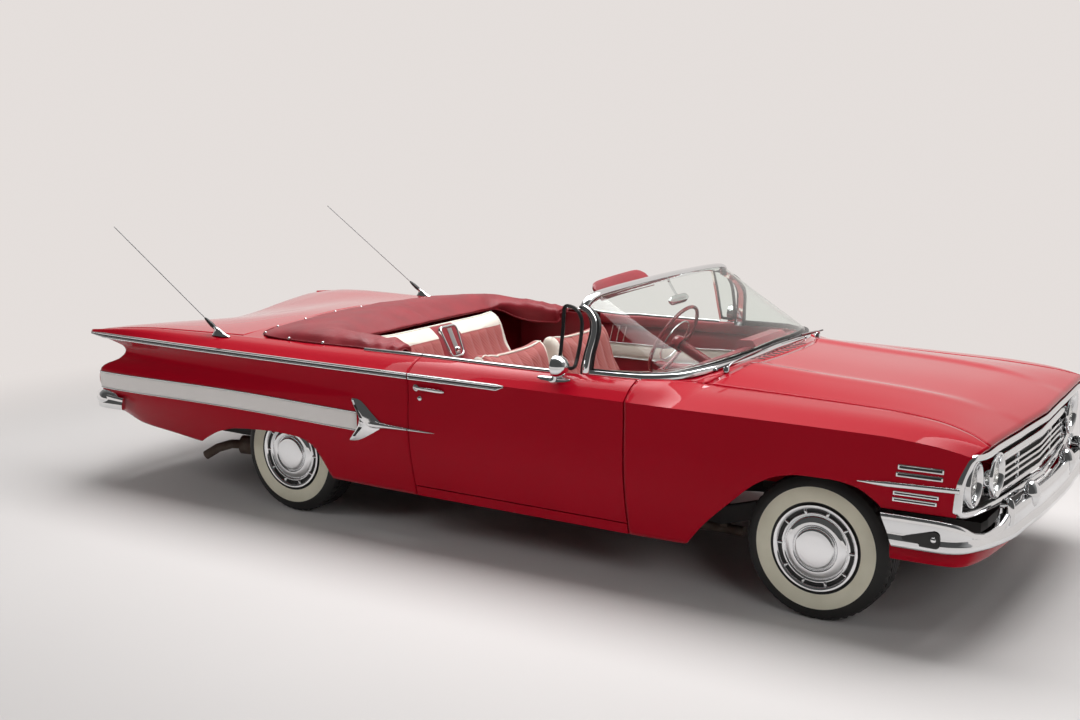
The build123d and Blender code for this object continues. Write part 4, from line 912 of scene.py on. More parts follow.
def plan_normals(path):
    """Directions square to a path in plan, to the right of its run."""
    outs = []
    for i in range(len(path)):
        a, b = path[max(i - 1, 0)], path[min(i + 1, len(path) - 1)]
        outs.append(Vector((b[1] - a[1], a[0] - b[0], 0)).normalized())
    return outs


surround = hoop("grille_surround", loop,
                soft_outline([(-20, -15), (4, -16), (11, -9), (12, 6), (5, 14), (-20, 14)]), chrome)
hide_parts("grille")


def grille_x(w):
    return 2552 - 0.052 * abs(w)


# The back of the recess is a sheet painted near black: partly the grille's own dark backing, partly painted
# shade in the recess.
grille_backing_and_shade = surface("grille_shadow", (0.006, 0.006, 0.006), (0.02, 0.02, 0.02), (0.5, 0.7), (20, 300),
                      0.4, slot="dark_steel")
recess_rows = [(2400, -935), (2420, -900), (2452, -600), (2478, 0), (2452, 600), (2420, 900), (2400, 935)]
recess = new_piece("grille_recess", [(x, w, z) for x, w in recess_rows for z in (572, 640, 720, 800, 838)],
                   grid_faces(len(recess_rows), 5), grille_backing_and_shade)
thicken(recess, 6)
for name, z, half, tall, deep in (("main", 754, 585, 19, 17), ("thin_0", 704, 560, 6, 9),
                                  ("thin_1", 676, 556, 6, 9), ("thin_2", 648, 552, 6, 9),
                                  ("low", 610, 580, 10, 12)):
    path = [(grille_x(w) - 26, w, z) for w in spaced(-half, half, 60, (0,))]
    outline = soft_outline([(-deep, tall), (deep * 0.5, tall), (deep, tall * 0.35), (deep, -tall * 0.35),
                            (deep * 0.5, -tall), (-deep, -tall)])
    swept(f"grille_bar_{name}", path, (1, 0, 0), outline, chrome)
for w, label in ((-572, "right_outer"), (-285, "right_inner"), (285, "left_inner"), (572, "left_outer")):
    path = [(grille_x(w) - 34, w + math.copysign(8, w) * k, 610 + 145 * k) for k in (0, 0.5, 1)]
    swept(f"grille_post_{label}", path, (1, 0, 0), soft_outline([(-8, 6), (8, 5), (8, -5), (-8, -6)]),
          chrome)


def turned(name, profile, centre, side, material, segments=48, body="body"):
    """A piece turned about a fore-and-aft line, over rows of (distance ahead, radius)."""
    x, w, z = centre
    points = [(x + ahead, side * w + r * math.cos(a), z + r * math.sin(a)) for ahead, r in profile
              for a in turns(segments)]
    faces = grid_faces(len(profile), segments, closed=True)
    return close_up(new_piece(name, points, faces, material, body), 40)


def flute_group():
    """Crossed ribs moulded inside a lens, as Mask and Height."""
    group, source, sink, coords = node_group("flutes", {"Ribs": 60.0, "Rows": 25.0}, ("Mask", "Height"))
    waves = []
    for label, axis in (("Ribs", "Y"), ("Rows", "Z")):
        wave = add_node(group, "TexWave", Vector=coords.outputs["Object"], Scale=source.outputs[label])
        wave.bands_direction = axis
        waves.append(wave.outputs["Fac"])
    total = math_node(group, "MULTIPLY", math_node(group, "ADD", *waves), 0.5)
    for use in ("Mask", "Height"):
        group.links.new(total, sink.inputs[use])
    return group


FLUTES = flute_group()
lamp_glass = surface("lamp_glass", (0.9, 0.92, 0.92), (0.95, 0.96, 0.96), (0.02, 0.06), (60, 22), 0.5,
                     FLUTES, transmission_weight=0.85, ior=1.4, slot="lamp_glass")
reflector = surface("lamp_reflector", (0.74, 0.73, 0.7), (0.82, 0.81, 0.78), (0.08, 0.16), (10, 200),
                    metallic=1.0, slot="aluminium")
for side, hand in SIDES:
    for (x, w), place in zip(LAMPS, ("outer", "inner")):
        centre = (x, w, LAMP_Z)
        lens = turned(f"headlamp_lens_{place}_{hand}", LAMP_LENS, centre, side, lamp_glass, 64)
        if side > 0 and place == "outer":
            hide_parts("headlamps")
        turned(f"headlamp_ring_{place}_{hand}", LAMP_RING, centre, side, chrome, 64)
        turned(f"headlamp_bowl_{place}_{hand}", LAMP_BOWL, centre, side, reflector)
VALANCE = [(2170, 928), (2300, 924), (2400, 914), (2450, 890), (2482, 836), (2508, 720), (2524, 560),
           (2536, 300), (2540, 0)]
VALANCE_Z = 402
half = smooth_path([(x, w, VALANCE_Z) for x, w in VALANCE], 5)
path = half + [(x, -w, z) for x, w, z in half[-2::-1]]
valance = swept("valance_skin", path, [-out for out in plan_normals(path)],
                soft_outline([(-8, 38), (8, 38), (11, 10), (8, -18), (-2, -36), (-12, -38)]), enamel)
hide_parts("front_valance")

# Tail: a deep horizontal hollow under the lid's lip runs between the fins above a lamp band. Three round
# red lenses in bright rings stand on each side of the band, which is bare brushed metal.
TAIL_X = -2566
TAIL_CURVE = [(-2440, 828), (-2404, 812), (-2386, 782), (-2412, 744), (-2500, 714), (-2552, 692),
              (TAIL_X, 652), (TAIL_X, 600), (-2548, 556), (-2524, 522), (-2512, 500)]
TAIL_LAMP_WS, TAIL_LAMP_Z = (560, 710, 860), 625
TAIL_LENS = curve([(-8, 46), (-20, 45), (-27, 32), (-30, 14), (-30.5, 0)])
TAIL_RING = curve([(0, 58), (-12, 57), (-22, 53), (-23, 48), (-16, 45), (-6, 45)])
TAIL_BOW = 10
tail_curve = curve(TAIL_CURVE, 3, 5)
tail_shares = [k / 12 - 1 for k in range(25)]
tail_points = [(x + TAIL_BOW * s ** 4, s * (880 + 50 * smooth_step((720 - z) / 30)), z)
               for s in tail_shares for x, z in tail_curve]
tail = new_piece("tail_skin", tail_points, grid_faces(len(tail_shares), len(tail_curve)), enamel)


def face_way(piece, way):
    """Turns a sheet so that most of it looks along a direction."""
    total = sum((face.normal * face.area for face in piece.data.polygons), Vector())
    if total.dot(Vector(way)) < 0:
        piece.data.flip_normals()


face_way(tail, (-1, 0, 0))
thicken(tail, 12)
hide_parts("tail_panel")
brushed = surface("brushed_metal", (0.5, 0.5, 0.5), (0.6, 0.6, 0.6), (0.28, 0.4), (2, 900), 0.15,
                  metallic=1.0, slot="aluminium")
band = soft_outline([(-3, -34), (5, -34), (7, -30), (7, 30), (5, 34), (-3, 34)])
swept("tail_band", [(TAIL_X + TAIL_BOW * (w / 900) ** 4, w, 626) for w in spaced(-900, 900, 60)],
      (-1, 0, 0), band, brushed)
lens_red = surface("lens_red", (0.32, 0.004, 0.004), (0.42, 0.008, 0.006), (0.05, 0.12), (90, 90), 0.5,
                   FLUTES, transmission_weight=0.35, coat_weight=0.6, coat_roughness=0.03, slot="lens_red")
for side, hand in SIDES:
    for k, w in enumerate(TAIL_LAMP_WS):
        centre = (TAIL_X, w, TAIL_LAMP_Z)
        lens = turned(f"tail_lens_{k}_{hand}", TAIL_LENS, centre, side, lens_red)
        if side > 0 and k == 0:
            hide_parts("tail_lamps")
        turned(f"tail_ring_{k}_{hand}", TAIL_RING, centre, side, chrome)

# Windshield: one bent laminated pane set in a black rubber channel inside a chromed frame, wrapped round to
# the posts. Two wipers park at its foot, and the vent panes stand in rubber channels on the doors.
WINDSHIELD_RIBS = [(684, 850, 978, 596, 768, 1262), (842, 846, 980, 604, 740, 1292),
                   (975, 830, 984, 613, 698, 1312), (1089, 756, 990, 620, 638, 1322),
                   (1155, 638, 999, 626, 538, 1328), (1205, 488, 1009, 632, 398, 1333),
                   (1240, 258, 1020, 637, 208, 1337), (1250, 0, 1028, 640, 0, 1339)]
all_ribs = [(xb, -wb, zb, xt, -wt, zt)
            for xb, wb, zb, xt, wt, zt in WINDSHIELD_RIBS[:-1]] + WINDSHIELD_RIBS[::-1]
glass_rows = smooth_path(all_ribs, 6)
seal_black = surface("seal_black", (0.008, 0.008, 0.009), (0.02, 0.02, 0.021), (0.28, 0.45), (9, 240), 0.2,
                     slot="tyre")
glass = surface("clear_glass", (0.9, 0.95, 0.92), (0.93, 0.97, 0.95), (0.0, 0.012), (2, 40),
                transmission_weight=1.0, ior=1.2, slot="glass")
foot_path = [row[:3] for row in glass_rows]
head_path = [row[3:] for row in glass_rows]
foot_outs, head_outs = plan_normals(foot_path), plan_normals(head_path)
head = swept("windshield_header", head_path, head_outs,
             soft_outline([(-22, -12), (-22, 7), (-14, 12), (6, 12), (18, 7), (22, -3), (18, -12)]), chrome)
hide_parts("windshield_frame")
swept("windshield_foot", foot_path, foot_outs,
      soft_outline([(-10, -14), (-10, 4), (-2, 12), (7, 10), (13, 0), (14, -14)]), chrome)
swept("seal_foot", foot_path, foot_outs, soft_outline([(-13, -10), (-13, 14), (-4, 18), (4, 14), (4, -4)]),
      seal_black)
swept("seal_header", head_path, head_outs,
      soft_outline([(-12, -18), (-12, -8), (15, -8), (15, -16), (4, -19)]), seal_black)
PANE_COLUMNS = 15
# The pane's ends follow the knee of the posts: how far forward of a straight edge, by share of height.
KNEE = [(0, -14), (0.08, -11), (0.29, 14), (0.5, 42), (0.68, 58), (0.82, 56), (0.94, 33), (1, 4)]
points = []
for i, (row, low, high) in enumerate(zip(glass_rows, foot_outs, head_outs)):
    foot, top, out = Vector(row[:3]), Vector(row[3:]), (low + high).normalized()
    near_post = max(0, 1 - min(i, len(glass_rows) - 1 - i) / 10) ** 2
    for k in range(PANE_COLUMNS):
        s = k / (PANE_COLUMNS - 1)
        ahead = Vector((line_at(KNEE, s)[0] * near_post, 0, 0))
        points.append(tuple(foot.lerp(top, s) + out * (2 + 18 * s * (1 - s)) + ahead))
pane = new_piece("windshield_pane", points, grid_faces(len(glass_rows), PANE_COLUMNS, True), glass)
thicken(pane, 5)
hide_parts("windshield_glass")
VENT = [(572, 984), (530, 984), (508, 1264), (518, 1277), (558, 1273), (594, 1254), (620, 1216),
        (630, 1170), (630, 1110), (624, 1040), (616, 984), (572, 984)]
VENT_FOOT, VENT_LEAN = (874, 978), 0.287
WIPER_ARM = [(1246, 556, 1010), (1252, 520, 1026), (1262, 400, 1038), (1272, 250, 1048)]
WIPER_BLADE = [(1236, 640, 1017), (1250, 520, 1026), (1264, 360, 1036), (1270, 200, 1046), (1272, 90, 1050)]
WIPER_FOOT = (1240, 556, 990)


def vent_w(z):
    """Half width of the leaning plane of the vents at a height."""
    return VENT_FOOT[0] - VENT_LEAN * (z - VENT_FOOT[1])


def vent_ring(inset, out):
    """Outline of the left vent on its leaning plane, drawn in towards its middle and moved out."""
    corners = [Vector(p) for p in curve(VENT, 3, 4)][:-1]
    middle = sum(corners, Vector((0, 0))) / len(corners)
    corners = [p + (middle - p).normalized() * inset for p in corners]
    return [(p.x, vent_w(p.y) + out, p.y) for p in corners]


POST = [(664, 846, 962), (666, 847, 1000), (673, 838, 1060), (682, 822, 1120), (684, 806, 1170),
        (670, 790, 1212), (636, 776, 1246), (600, 769, 1262)]
for side, hand in SIDES:
    path = mirrored(smooth_path(POST, 5), side)
    swept(f"post_{hand}", path, (0, side, 0.25),
          soft_outline([(-15, 15), (9, 16), (16, 9), (17, -8), (10, -15), (-15, -15)]), chrome,
          [1.35 - 0.35 * smooth_step(k / 12) for k in range(len(path))])
    for label, shift in (("front", 20), ("rear", -20)):
        rubber_path = [(x + shift * (1.3 - 0.3 * smooth_step(k / 12)), y - side * 3, z + 3)
                       for k, (x, y, z) in enumerate(path)]
        swept(f"post_seal_{label}_{hand}", rubber_path, (0, side, 0.25),
              soft_outline([(-11, 6), (10, 6), (12, 0), (10, -6), (-11, -6)]), seal_black)
    # The vent is a pane in a rubber channel with a bright edge on its upright. A wiper follows it.
    door = f"door_{hand}"
    channel = hoop(f"vent_channel_{hand}", mirrored(vent_ring(7, 6), side),
                   soft_outline([(-6, -8), (-6, 8), (6, 8), (6, -8)]), seal_black, (0, side, 0), door)
    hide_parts(f"vent_frame_{hand}")
    light = closed_piece(f"vent_pane_{hand}", [mirrored(vent_ring(9, out), side) for out in (4, 9)], glass,
                         40, door)
    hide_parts(f"vent_glass_{hand}")
    upright = [(530 - 0.0786 * (z - 984), vent_w(z), z) for z in (984, 1060, 1150, 1262)]
    swept(f"vent_edge_{hand}", mirrored(upright, side), (0, side, 0),
          soft_outline([(-3, 6), (4, 6), (4, -6), (-3, -6)]), chrome, body=door)
    swept(f"wiper_arm_{hand}", mirrored(smooth_path(WIPER_ARM, 4), side), (0.7, 0, 0.7),
          soft_outline([(2, 4), (9, 3), (9, -3), (2, -4)]), satin_steel)
    swept(f"wiper_blade_{hand}", mirrored(smooth_path(WIPER_BLADE, 4), side), (0.7, 0, 0.7),
          soft_outline([(-3, 3), (3, 4), (3, -4), (-3, -3)]), seal_black)
    stud(f"wiper_pivot_{hand}", mirrored([WIPER_FOOT], side)[0], (0, 0, 1),
         ((0, 15), (18, 14), (26, 10), (29, 4)), 20, 50)

# Cowl: a painted steel strip between the hood and the glass, run out to the fenders, with a row of air
# slots.
COWL_STRIPS = [(0, 1238, 1012, 1328, 1009), (250, 1228, 1006, 1313, 1006), (450, 1200, 997, 1278, 994),
               (600, 1158, 986, 1232, 974), (692, 1120, 978, 1200, 953), (724, 1098, 976, 1148, 964),
               (760, 1074, 974, 1118, 968), (812, 1008, 972, 1056, 972), (838, 960, 970, 1006, 972)]
COWL_ROWS = 6


def on_cowl(w, s):
    """A point of the cowl at half width w and a share s of the way from its back to its front."""
    back_x, back_z, front_x, front_z = line_at(COWL_STRIPS, abs(w))
    return back_x + (front_x - back_x) * s, w, back_z + (front_z - back_z) * s + 6 * s * (1 - s)


cowl_ws = spaced(-838, 838, 24, [w for row in COWL_STRIPS for w in (row[0], -row[0])])
points = [on_cowl(w, k / (COWL_ROWS - 1)) for w in cowl_ws for k in range(COWL_ROWS)]
cowl_skin = new_piece("cowl_skin", points, grid_faces(len(cowl_ws), COWL_ROWS, True), enamel)
thicken(cowl_skin, 14)
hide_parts("cowl")
for k in range(11):
    path = [on_cowl(-250 + 50 * k, s) for s in (0.42, 0.56, 0.7, 0.84)]
    swept(f"cowl_slot_{k}", path, (0, 0, 1),
          soft_outline([(-2, 9), (1, 9), (1.4, 7), (1.4, -7), (1, -9), (-2, -9)], 2), slot_black)

# Dash and steering: a pressed steel dash in grained red paint with round dials, and a thin two-spoke wheel
# of red plastic on a steel core, with a chromed horn ring, on a painted column.


def grain_group():
    """Fine pebbled grain of coated cloth, as Mask and Height."""
    group, source, sink, coords = node_group("hide_grain", {"Cloud": 5.0, "Pebble": 900.0},
                                             ("Mask", "Height"))
    for label, kind, field, use in (("Cloud", "TexNoise", "Fac", "Mask"),
                                    ("Pebble", "TexVoronoi", "Distance", "Height")):
        node = add_node(group, kind, Vector=coords.outputs["Object"], Scale=source.outputs[label])
        group.links.new(node.outputs[field], sink.inputs[use])
    return group


GRAIN = grain_group()
red_vinyl = surface("red_vinyl", (0.2, 0.006, 0.013), (0.26, 0.01, 0.019), (0.34, 0.46), (5, 620), 0.25,
                    GRAIN, slot="vinyl_red")
ivory_vinyl = surface("ivory_vinyl", (0.66, 0.61, 0.54), (0.74, 0.7, 0.63), (0.36, 0.5), (6, 620), 0.25,
                      GRAIN, slot="cloth")
dash_red = surface("dash_red", (0.27, 0.03, 0.045), (0.32, 0.04, 0.055), (0.3, 0.42), (5, 500), 0.12, GRAIN)
dress("dashboard", dash_red)
dress("steering_column", red_vinyl)
dial_face = surface("dial_face", (0.02, 0.02, 0.02), (0.04, 0.04, 0.04), (0.2, 0.3), (12, 200),
                    slot="dark_steel")
DIALS = [(270, 34), (350, 42), (430, 42), (510, 34)]
DIAL_X, DIAL_Z = 948, 938
for k, (y, r) in enumerate(DIALS):
    centre = (DIAL_X, y, DIAL_Z)
    turned(f"dial_{k}", curve([(-24, r - 6), (-22, 0)]), centre, 1, dial_face, 36)
    turned(f"dial_ring_{k}", curve([(0, r + 4), (-14, r + 4), (-20, r), (-18, r - 6), (-8, r - 7)]), centre,
           1, chrome, 36)
swept("dash_bar", [(976, y, 868) for y in spaced(-810, 810, 60)], (-1, 0, 0),
      soft_outline([(-4, 11), (7, 9), (9, 0), (7, -9), (-4, -11)]), brushed)
WHEEL_CENTRE = Vector((485, 380, 934))
COLUMN_TILT = math.radians(27)
RIM_RADIUS, RIM_TUBE, RIM_KNURL = 206, 10, 0.05
HORN_RADIUS, HORN_TUBE, HORN_DEPTH = 120, 4.5, -8
RING_SEGMENTS, TUBE_SEGMENTS, FINGER_GRIPS = 120, 12, 30
SPOKE_REACH, SPOKE_DROP, SPOKE_DISH = 203, 18, 22
BOSS = ((-55, 44), (-30, 42), (-10, 36), (-2, 26), (2, 12), (3, 3))
wheel_axis = Vector((-math.cos(COLUMN_TILT), 0, math.sin(COLUMN_TILT)))
wheel_across = Vector((0, 1, 0))
wheel_up = wheel_axis.cross(wheel_across) * -1


def round_wheel(a, radius, depth):
    """A point at an angle about the steering axis."""
    spoke = wheel_across * math.cos(a) + wheel_up * math.sin(a)
    return tuple(WHEEL_CENTRE + spoke * radius + wheel_axis * depth)


def wheel_torus(name, radius, tube, depth, material, knurl=0.0):
    """A ring round the steering axis, with finger grips where knurl is given."""
    points = []
    for a in turns(RING_SEGMENTS):
        for b in turns(TUBE_SEGMENTS):
            t = tube * (1 + knurl * (math.sin(FINGER_GRIPS * a) if math.cos(b) < 0 else 0))
            points.append(round_wheel(a, radius + t * math.cos(b), depth + t * math.sin(b)))
    faces = grid_faces(RING_SEGMENTS, TUBE_SEGMENTS, closed=True, ring=True)
    return new_piece(name, points, faces, material, "steering_wheel")


rim_plastic = surface("rim_plastic", (0.24, 0.012, 0.02), (0.29, 0.018, 0.028), (0.12, 0.2), (8, 300), 0.03,
                      coat_weight=0.5, coat_roughness=0.05, slot="vinyl_red")
rim = wheel_torus("steering_rim", RIM_RADIUS, RIM_TUBE, 0, rim_plastic, RIM_KNURL)
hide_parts("steering_wheel")
wheel_torus("horn_ring", HORN_RADIUS, HORN_TUBE, HORN_DEPTH, chrome)
rings = []
for s in [k / 12 - 1 for k in range(25)]:
    half, thick = 12 + 10 * (1 - abs(s)), 5 + 4 * (1 - abs(s))
    rings.append([tuple(WHEEL_CENTRE + wheel_across * SPOKE_REACH * s
                        + wheel_up * (half * math.cos(b) - SPOKE_DROP * (1 - s * s))
                        + wheel_axis * (thick * math.sin(b) - SPOKE_DISH * (1 - s * s)))
                  for b in turns(TUBE_SEGMENTS)])
closed_piece("steering_spokes", rings, rim_plastic, 60, "steering_wheel")
rings = [[round_wheel(b, r, d) for b in turns(28)] for d, r in BOSS]
closed_piece("steering_boss", rings, rim_plastic, 60, "steering_wheel")

# Inner trim: hardboard panels covered in red coated cloth inside the doors and beside the rear seat, with
# an ivory band, bright mouldings and a padded roll at the belt.
CARD_ENDS, CARD_Z, CARD_W = (-244, 925), (345, 902), 871
BAND_ENDS, BAND_W, BEAD_W, RIB_W = (-236, 900), 864, 860, 863
BAND_EDGES = ((700, 0.02), (792, 0.03))
REST_ENDS, REST_W, REST_Z, REST_BOW = (150, 510), 838, 690, 22
CRANK = [(620, 852, 640), (616, 838, 640), (560, 832, 628), (536, 830, 622)]


def band_z(edge, x):
    """Height of the lower (0) or upper (1) edge of the ivory band at a station."""
    height, slope = BAND_EDGES[edge]
    return height + slope * x


def panel_box(name, x0, x1, low, high, w, side, body, material, rows=10, bow=6.0):
    """A thin panel on the inner side of a wall, bowed inwards."""
    points = []
    stations = spaced(x0, x1, 40)
    for i, x in enumerate(stations):
        edge = min(i, len(stations) - 1 - i, 1)
        for k in range(rows + 1):
            lift = bow * (1 if 0 < k < rows and edge else 0)
            points.append((x, side * (w - lift), low(x) + (high(x) - low(x)) * k / rows))
    piece = new_piece(name, points, grid_faces(len(stations), rows + 1, side > 0), material, body)
    face_way(piece, (0, -side, 0))
    thicken(piece, 4)


for side, hand in SIDES:
    door = f"door_{hand}"
    panel_box(f"door_card_{hand}", *CARD_ENDS, lambda x: CARD_Z[0], lambda x: CARD_Z[1], CARD_W, side, door,
              red_vinyl)
    panel_box(f"door_band_{hand}", *BAND_ENDS, lambda x: band_z(0, x), lambda x: band_z(1, x), BAND_W, side,
              door, ivory_vinyl, 4, 5)
    for k in range(len(BAND_EDGES)):
        path = [(x, side * BEAD_W, band_z(k, x)) for x in spaced(*BAND_ENDS, 60)]
        swept(f"door_bead_{k}_{hand}", path, (0, -side, 0),
              soft_outline([(-5, 4), (3, 3), (3, -3), (-5, -4)]), chrome, body=door)
    for k in range(3):
        x = -190 + 46 * k
        swept(f"door_rib_{k}_{hand}", [(x + 26 * s, side * RIB_W, 800 + 96 * s) for s in (0, 0.5, 1)],
              (0, -side, 0), soft_outline([(-4, 5), (4, 3), (4, -3), (-4, -5)]), chrome, body=door)
    roll = [(x, side * (line_at(BELT_LINE, x)[0] - 20), line_at(BELT_LINE, x)[1] - 34)
            for x in spaced(-250, 920, 40)]
    belt_roll = swept(f"door_roll_{hand}", roll, (0, -side, 0),
                      soft_outline([(-8, 30), (6, 30), (12, 14), (12, -14), (6, -30), (-8, -30)]),
                      red_vinyl, body=door)
    start, length = REST_ENDS[0], REST_ENDS[1] - REST_ENDS[0]
    rest = [(x, side * (REST_W - REST_BOW * math.sin(math.pi * (x - start) / length)), REST_Z)
            for x in spaced(*REST_ENDS, 24)]
    arm_pad = swept(f"arm_rest_{hand}", rest, (0, -side, 0),
                    soft_outline([(-26, 20), (8, 22), (20, 10), (20, -8), (8, -18), (-26, -16)]), red_vinyl,
                    body=door)
    swept(f"window_crank_{hand}", smooth_path(mirrored(CRANK, side), 4), (0, -side, 0),
          soft_outline([(-4, 6), (4, 5), (4, -5), (-4, -6)]), chrome, body=door)
dress("side_panels", red_vinyl)

# Sun visors and mirrors: padded visors hinged to the header, the near one turned up and the far one lying
# down, a mirror in a bright case below them, and a round chromed mirror on a stalk on each door.
VISOR_X, VISOR_INNER_W, VISOR_COLUMNS = 600, 72, 24
VISOR_SPANS = {"left": 466, "right": 524}
CASE_X, CASE_Z, CASE_HALF_W, CASE_COLUMNS = 703, 1217, 108, 32
for side, hand in SIDES:
    rings = []
    for k in range(VISOR_COLUMNS + 1):
        s = k / VISOR_COLUMNS
        y = VISOR_INNER_W + VISOR_SPANS[hand] * s
        edge = 46 * abs(2 * s - 1) ** 10 + 14 * s
        ring = []
        for a in turns(16):
            u = (1 - math.cos(a)) / 2
            swell = (8 + 2 * math.sin(math.pi * s)) * math.sin(a)
            if side > 0:
                x = VISOR_X - (160 - edge) * u
                ring.append((x, y, 1326 - 0.34 * (VISOR_X - x) + swell))
            else:
                depth = (118 - 0.6 * edge) * u
                ring.append((VISOR_X - 0.69 * depth + 0.72 * swell, -y,
                             1288 - 14 * s * s + 0.72 * depth + 0.69 * swell))
        rings.append(ring)
    visor = closed_piece(f"sun_visor_{hand}", rings, red_vinyl, 70)
    if side > 0:
        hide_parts("sun_visors")
rings = []
for k in range(CASE_COLUMNS + 1):
    s = 2 * k / CASE_COLUMNS - 1
    half = 24 * (1 - abs(s) ** 6) + 0.5
    rings.append([(CASE_X + 9 * math.cos(a) * (1 - 0.6 * abs(s) ** 6), CASE_HALF_W * s,
                   CASE_Z + half * math.sin(a)) for a in turns(16)])
case = closed_piece("cabin_mirror_case", rings, chrome, 60)
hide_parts("cabin_mirror")
swept("cabin_mirror_stem", smooth_path([(642, 0, 1322), (650, 0, 1296), (676, 0, 1258), (700, 0, 1228)], 5),
      (0, 1, 0), soft_outline([(-6, 5), (6, 5), (6, -5), (-6, -5)]), chrome)
MIRROR_FOOT_W = 940
MIRROR_CENTRE = (572, 952, 1010)
for side, hand in SIDES:
    door = f"door_{hand}"
    turned(f"mirror_shell_{hand}",
           curve([(-16, 44), (-19, 51), (-10, 53), (12, 51), (34, 40), (50, 20), (54, 0)]), MIRROR_CENTRE,
           side, chrome, 40, door)
    turned(f"mirror_face_{hand}", [(-17, 46), (-15, 0)], MIRROR_CENTRE, side, satin_steel, 40, door)
    foot_path = []
    for x in (452, 474, 520, 570, 608, 630):
        (belt_w, belt_z), (edge_w, edge_z) = line_at(BELT_LINE, x), line_at(EDGE_LINE, x)
        share = (MIRROR_FOOT_W - belt_w) / (edge_w - belt_w)
        foot_path.append((x, side * MIRROR_FOOT_W, belt_z + (edge_z - belt_z) * share + CROWN_RISE))
    swept(f"mirror_foot_{hand}", foot_path, (0, side, 0),
          soft_outline([(-16, -2), (-13, 6), (0, 9), (13, 0), (16, -14)]), chrome,
          [0.25, 0.7, 1, 1, 0.7, 0.25], door)
    stalk = mirrored(smooth_path([(540, 938, 932), (552, 944, 952), (566, 950, 974), (574, 952, 996)], 5),
                     side)
    foot = swept(f"mirror_stalk_{hand}", stalk, (0, side, 0),
                 soft_outline([(-10, 11), (10, 11), (10, -11), (-10, -11)]), chrome,
                 [2.2 - 1.2 * smooth_step(k / 8) for k in range(len(stalk))], door)
    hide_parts(f"door_mirror_{hand}")

# Seats: foam over springs on painted steel bases, covered in pleated salmon twill with ivory coated cloth
# at the top, the ends and the middle, and red backs. Each cushion is blown up by a cloth simulation, then
# its sewn channels are pressed in.
FRONT_CUSHION = [(480, 500), (500, 560), (470, 606), (60, 580), (-20, 560), (-40, 470), (440, 470)]
FRONT_BACK = [(60, 570), (-20, 550), (-30, 480), (-110, 480), (-170, 900), (-150, 950), (-100, 958),
              (-70, 930)]
REAR_CUSHION = [(-350, 490), (-325, 550), (-375, 592), (-640, 560), (-690, 500), (-690, 456), (-380, 456)]
REAR_BACK = [(-600, 556), (-640, 480), (-740, 480), (-888, 950), (-868, 985), (-815, 982), (-780, 940)]
FRONT_FACING, REAR_FACING = (0.94, 0, 0.34), (0.906, 0, 0.425)
PLEAT_PITCH = 81.0
CHANNEL_DEPTH, CHANNEL_HALF = 6.0, 9.0
SWELL_LIMIT = 22.0
VOXEL = 14.0
START_INSET = 12.0
PRESSURE, SWELL_FRAMES = 4.0, 20
SEAM_BUMP = 0.003


def cover_group():
    """Panels of a seat cover by place: a Centre panel, Ivory ends and top, sewn Height and a fine Twill."""
    inputs = {"Middle": 0.1, "Ends": 0.5, "Top": 0.9, "Pitch": 0.08}
    group, source, sink, coords = node_group("seat_cover", inputs, ("Centre", "Ivory", "Twill", "Height"))
    x, y, z = add_node(group, "SeparateXYZ", Vector=coords.outputs["Object"]).outputs
    across = math_node(group, "ABSOLUTE", y, 0)
    group.links.new(math_node(group, "LESS_THAN", across, source.outputs["Middle"]), sink.inputs["Centre"])
    ends = math_node(group, "GREATER_THAN", across, source.outputs["Ends"])
    top = math_node(group, "GREATER_THAN", z, source.outputs["Top"])
    ivory = math_node(group, "MAXIMUM", ends, top)
    group.links.new(ivory, sink.inputs["Ivory"])
    slant = math_node(group, "MULTIPLY_ADD", math_node(group, "SUBTRACT", z, x), 0.55, y)
    thread = math_node(group, "SINE", math_node(group, "MULTIPLY", slant, 300.0), 0)
    twill = math_node(group, "GREATER_THAN", thread, 0.35)
    group.links.new(twill, sink.inputs["Twill"])
    pleat = math_node(group, "DIVIDE", math_node(group, "SUBTRACT", across, source.outputs["Middle"]),
                      source.outputs["Pitch"])
    seam = math_node(group, "PINGPONG", pleat, 0.5)
    full = math_node(group, "MINIMUM", math_node(group, "MULTIPLY", seam, 9.0), 1.0)
    sewn = math_node(group, "MULTIPLY_ADD", twill, -0.12, full)
    group.links.new(math_node(group, "MAXIMUM", sewn, ivory), sink.inputs["Height"])
    return group


COVER = cover_group()
IVORY = (0.72, 0.66, 0.58)


def cover_material(name, middle, ends, top, centre_colour):
    """Pleated twill with panels of coated cloth: masks of the cover group mix the colours."""
    material = surface(name, (0.4, 0.09, 0.08), (0.46, 0.12, 0.105), (0.72, 0.86), (40, 900), slot="cloth")
    tree = material.node_tree
    shader = tree.nodes["Principled BSDF"]
    shader.inputs["Sheen Weight"].default_value = 0.25
    cover = tree.nodes.new("ShaderNodeGroup")
    cover.node_tree = COVER
    for socket, value in zip(cover.inputs, (middle * MM, ends * MM, top * MM, PLEAT_PITCH * MM)):
        socket.default_value = value
    colour = shader.inputs["Base Color"].links[0].from_socket
    for label, tint in (("Twill", (0.2, 0.028, 0.028)), ("Ivory", IVORY), ("Centre", centre_colour)):
        colour = mix_colours(tree, cover.outputs[label], colour, (*tint, 1.0))
    tree.links.new(colour, shader.inputs["Base Color"])
    lift = add_node(tree, "Bump", Strength=0.5, Distance=SEAM_BUMP, Height=cover.outputs["Height"])
    tree.links.new(lift.outputs["Normal"], shader.inputs["Normal"])
    return material


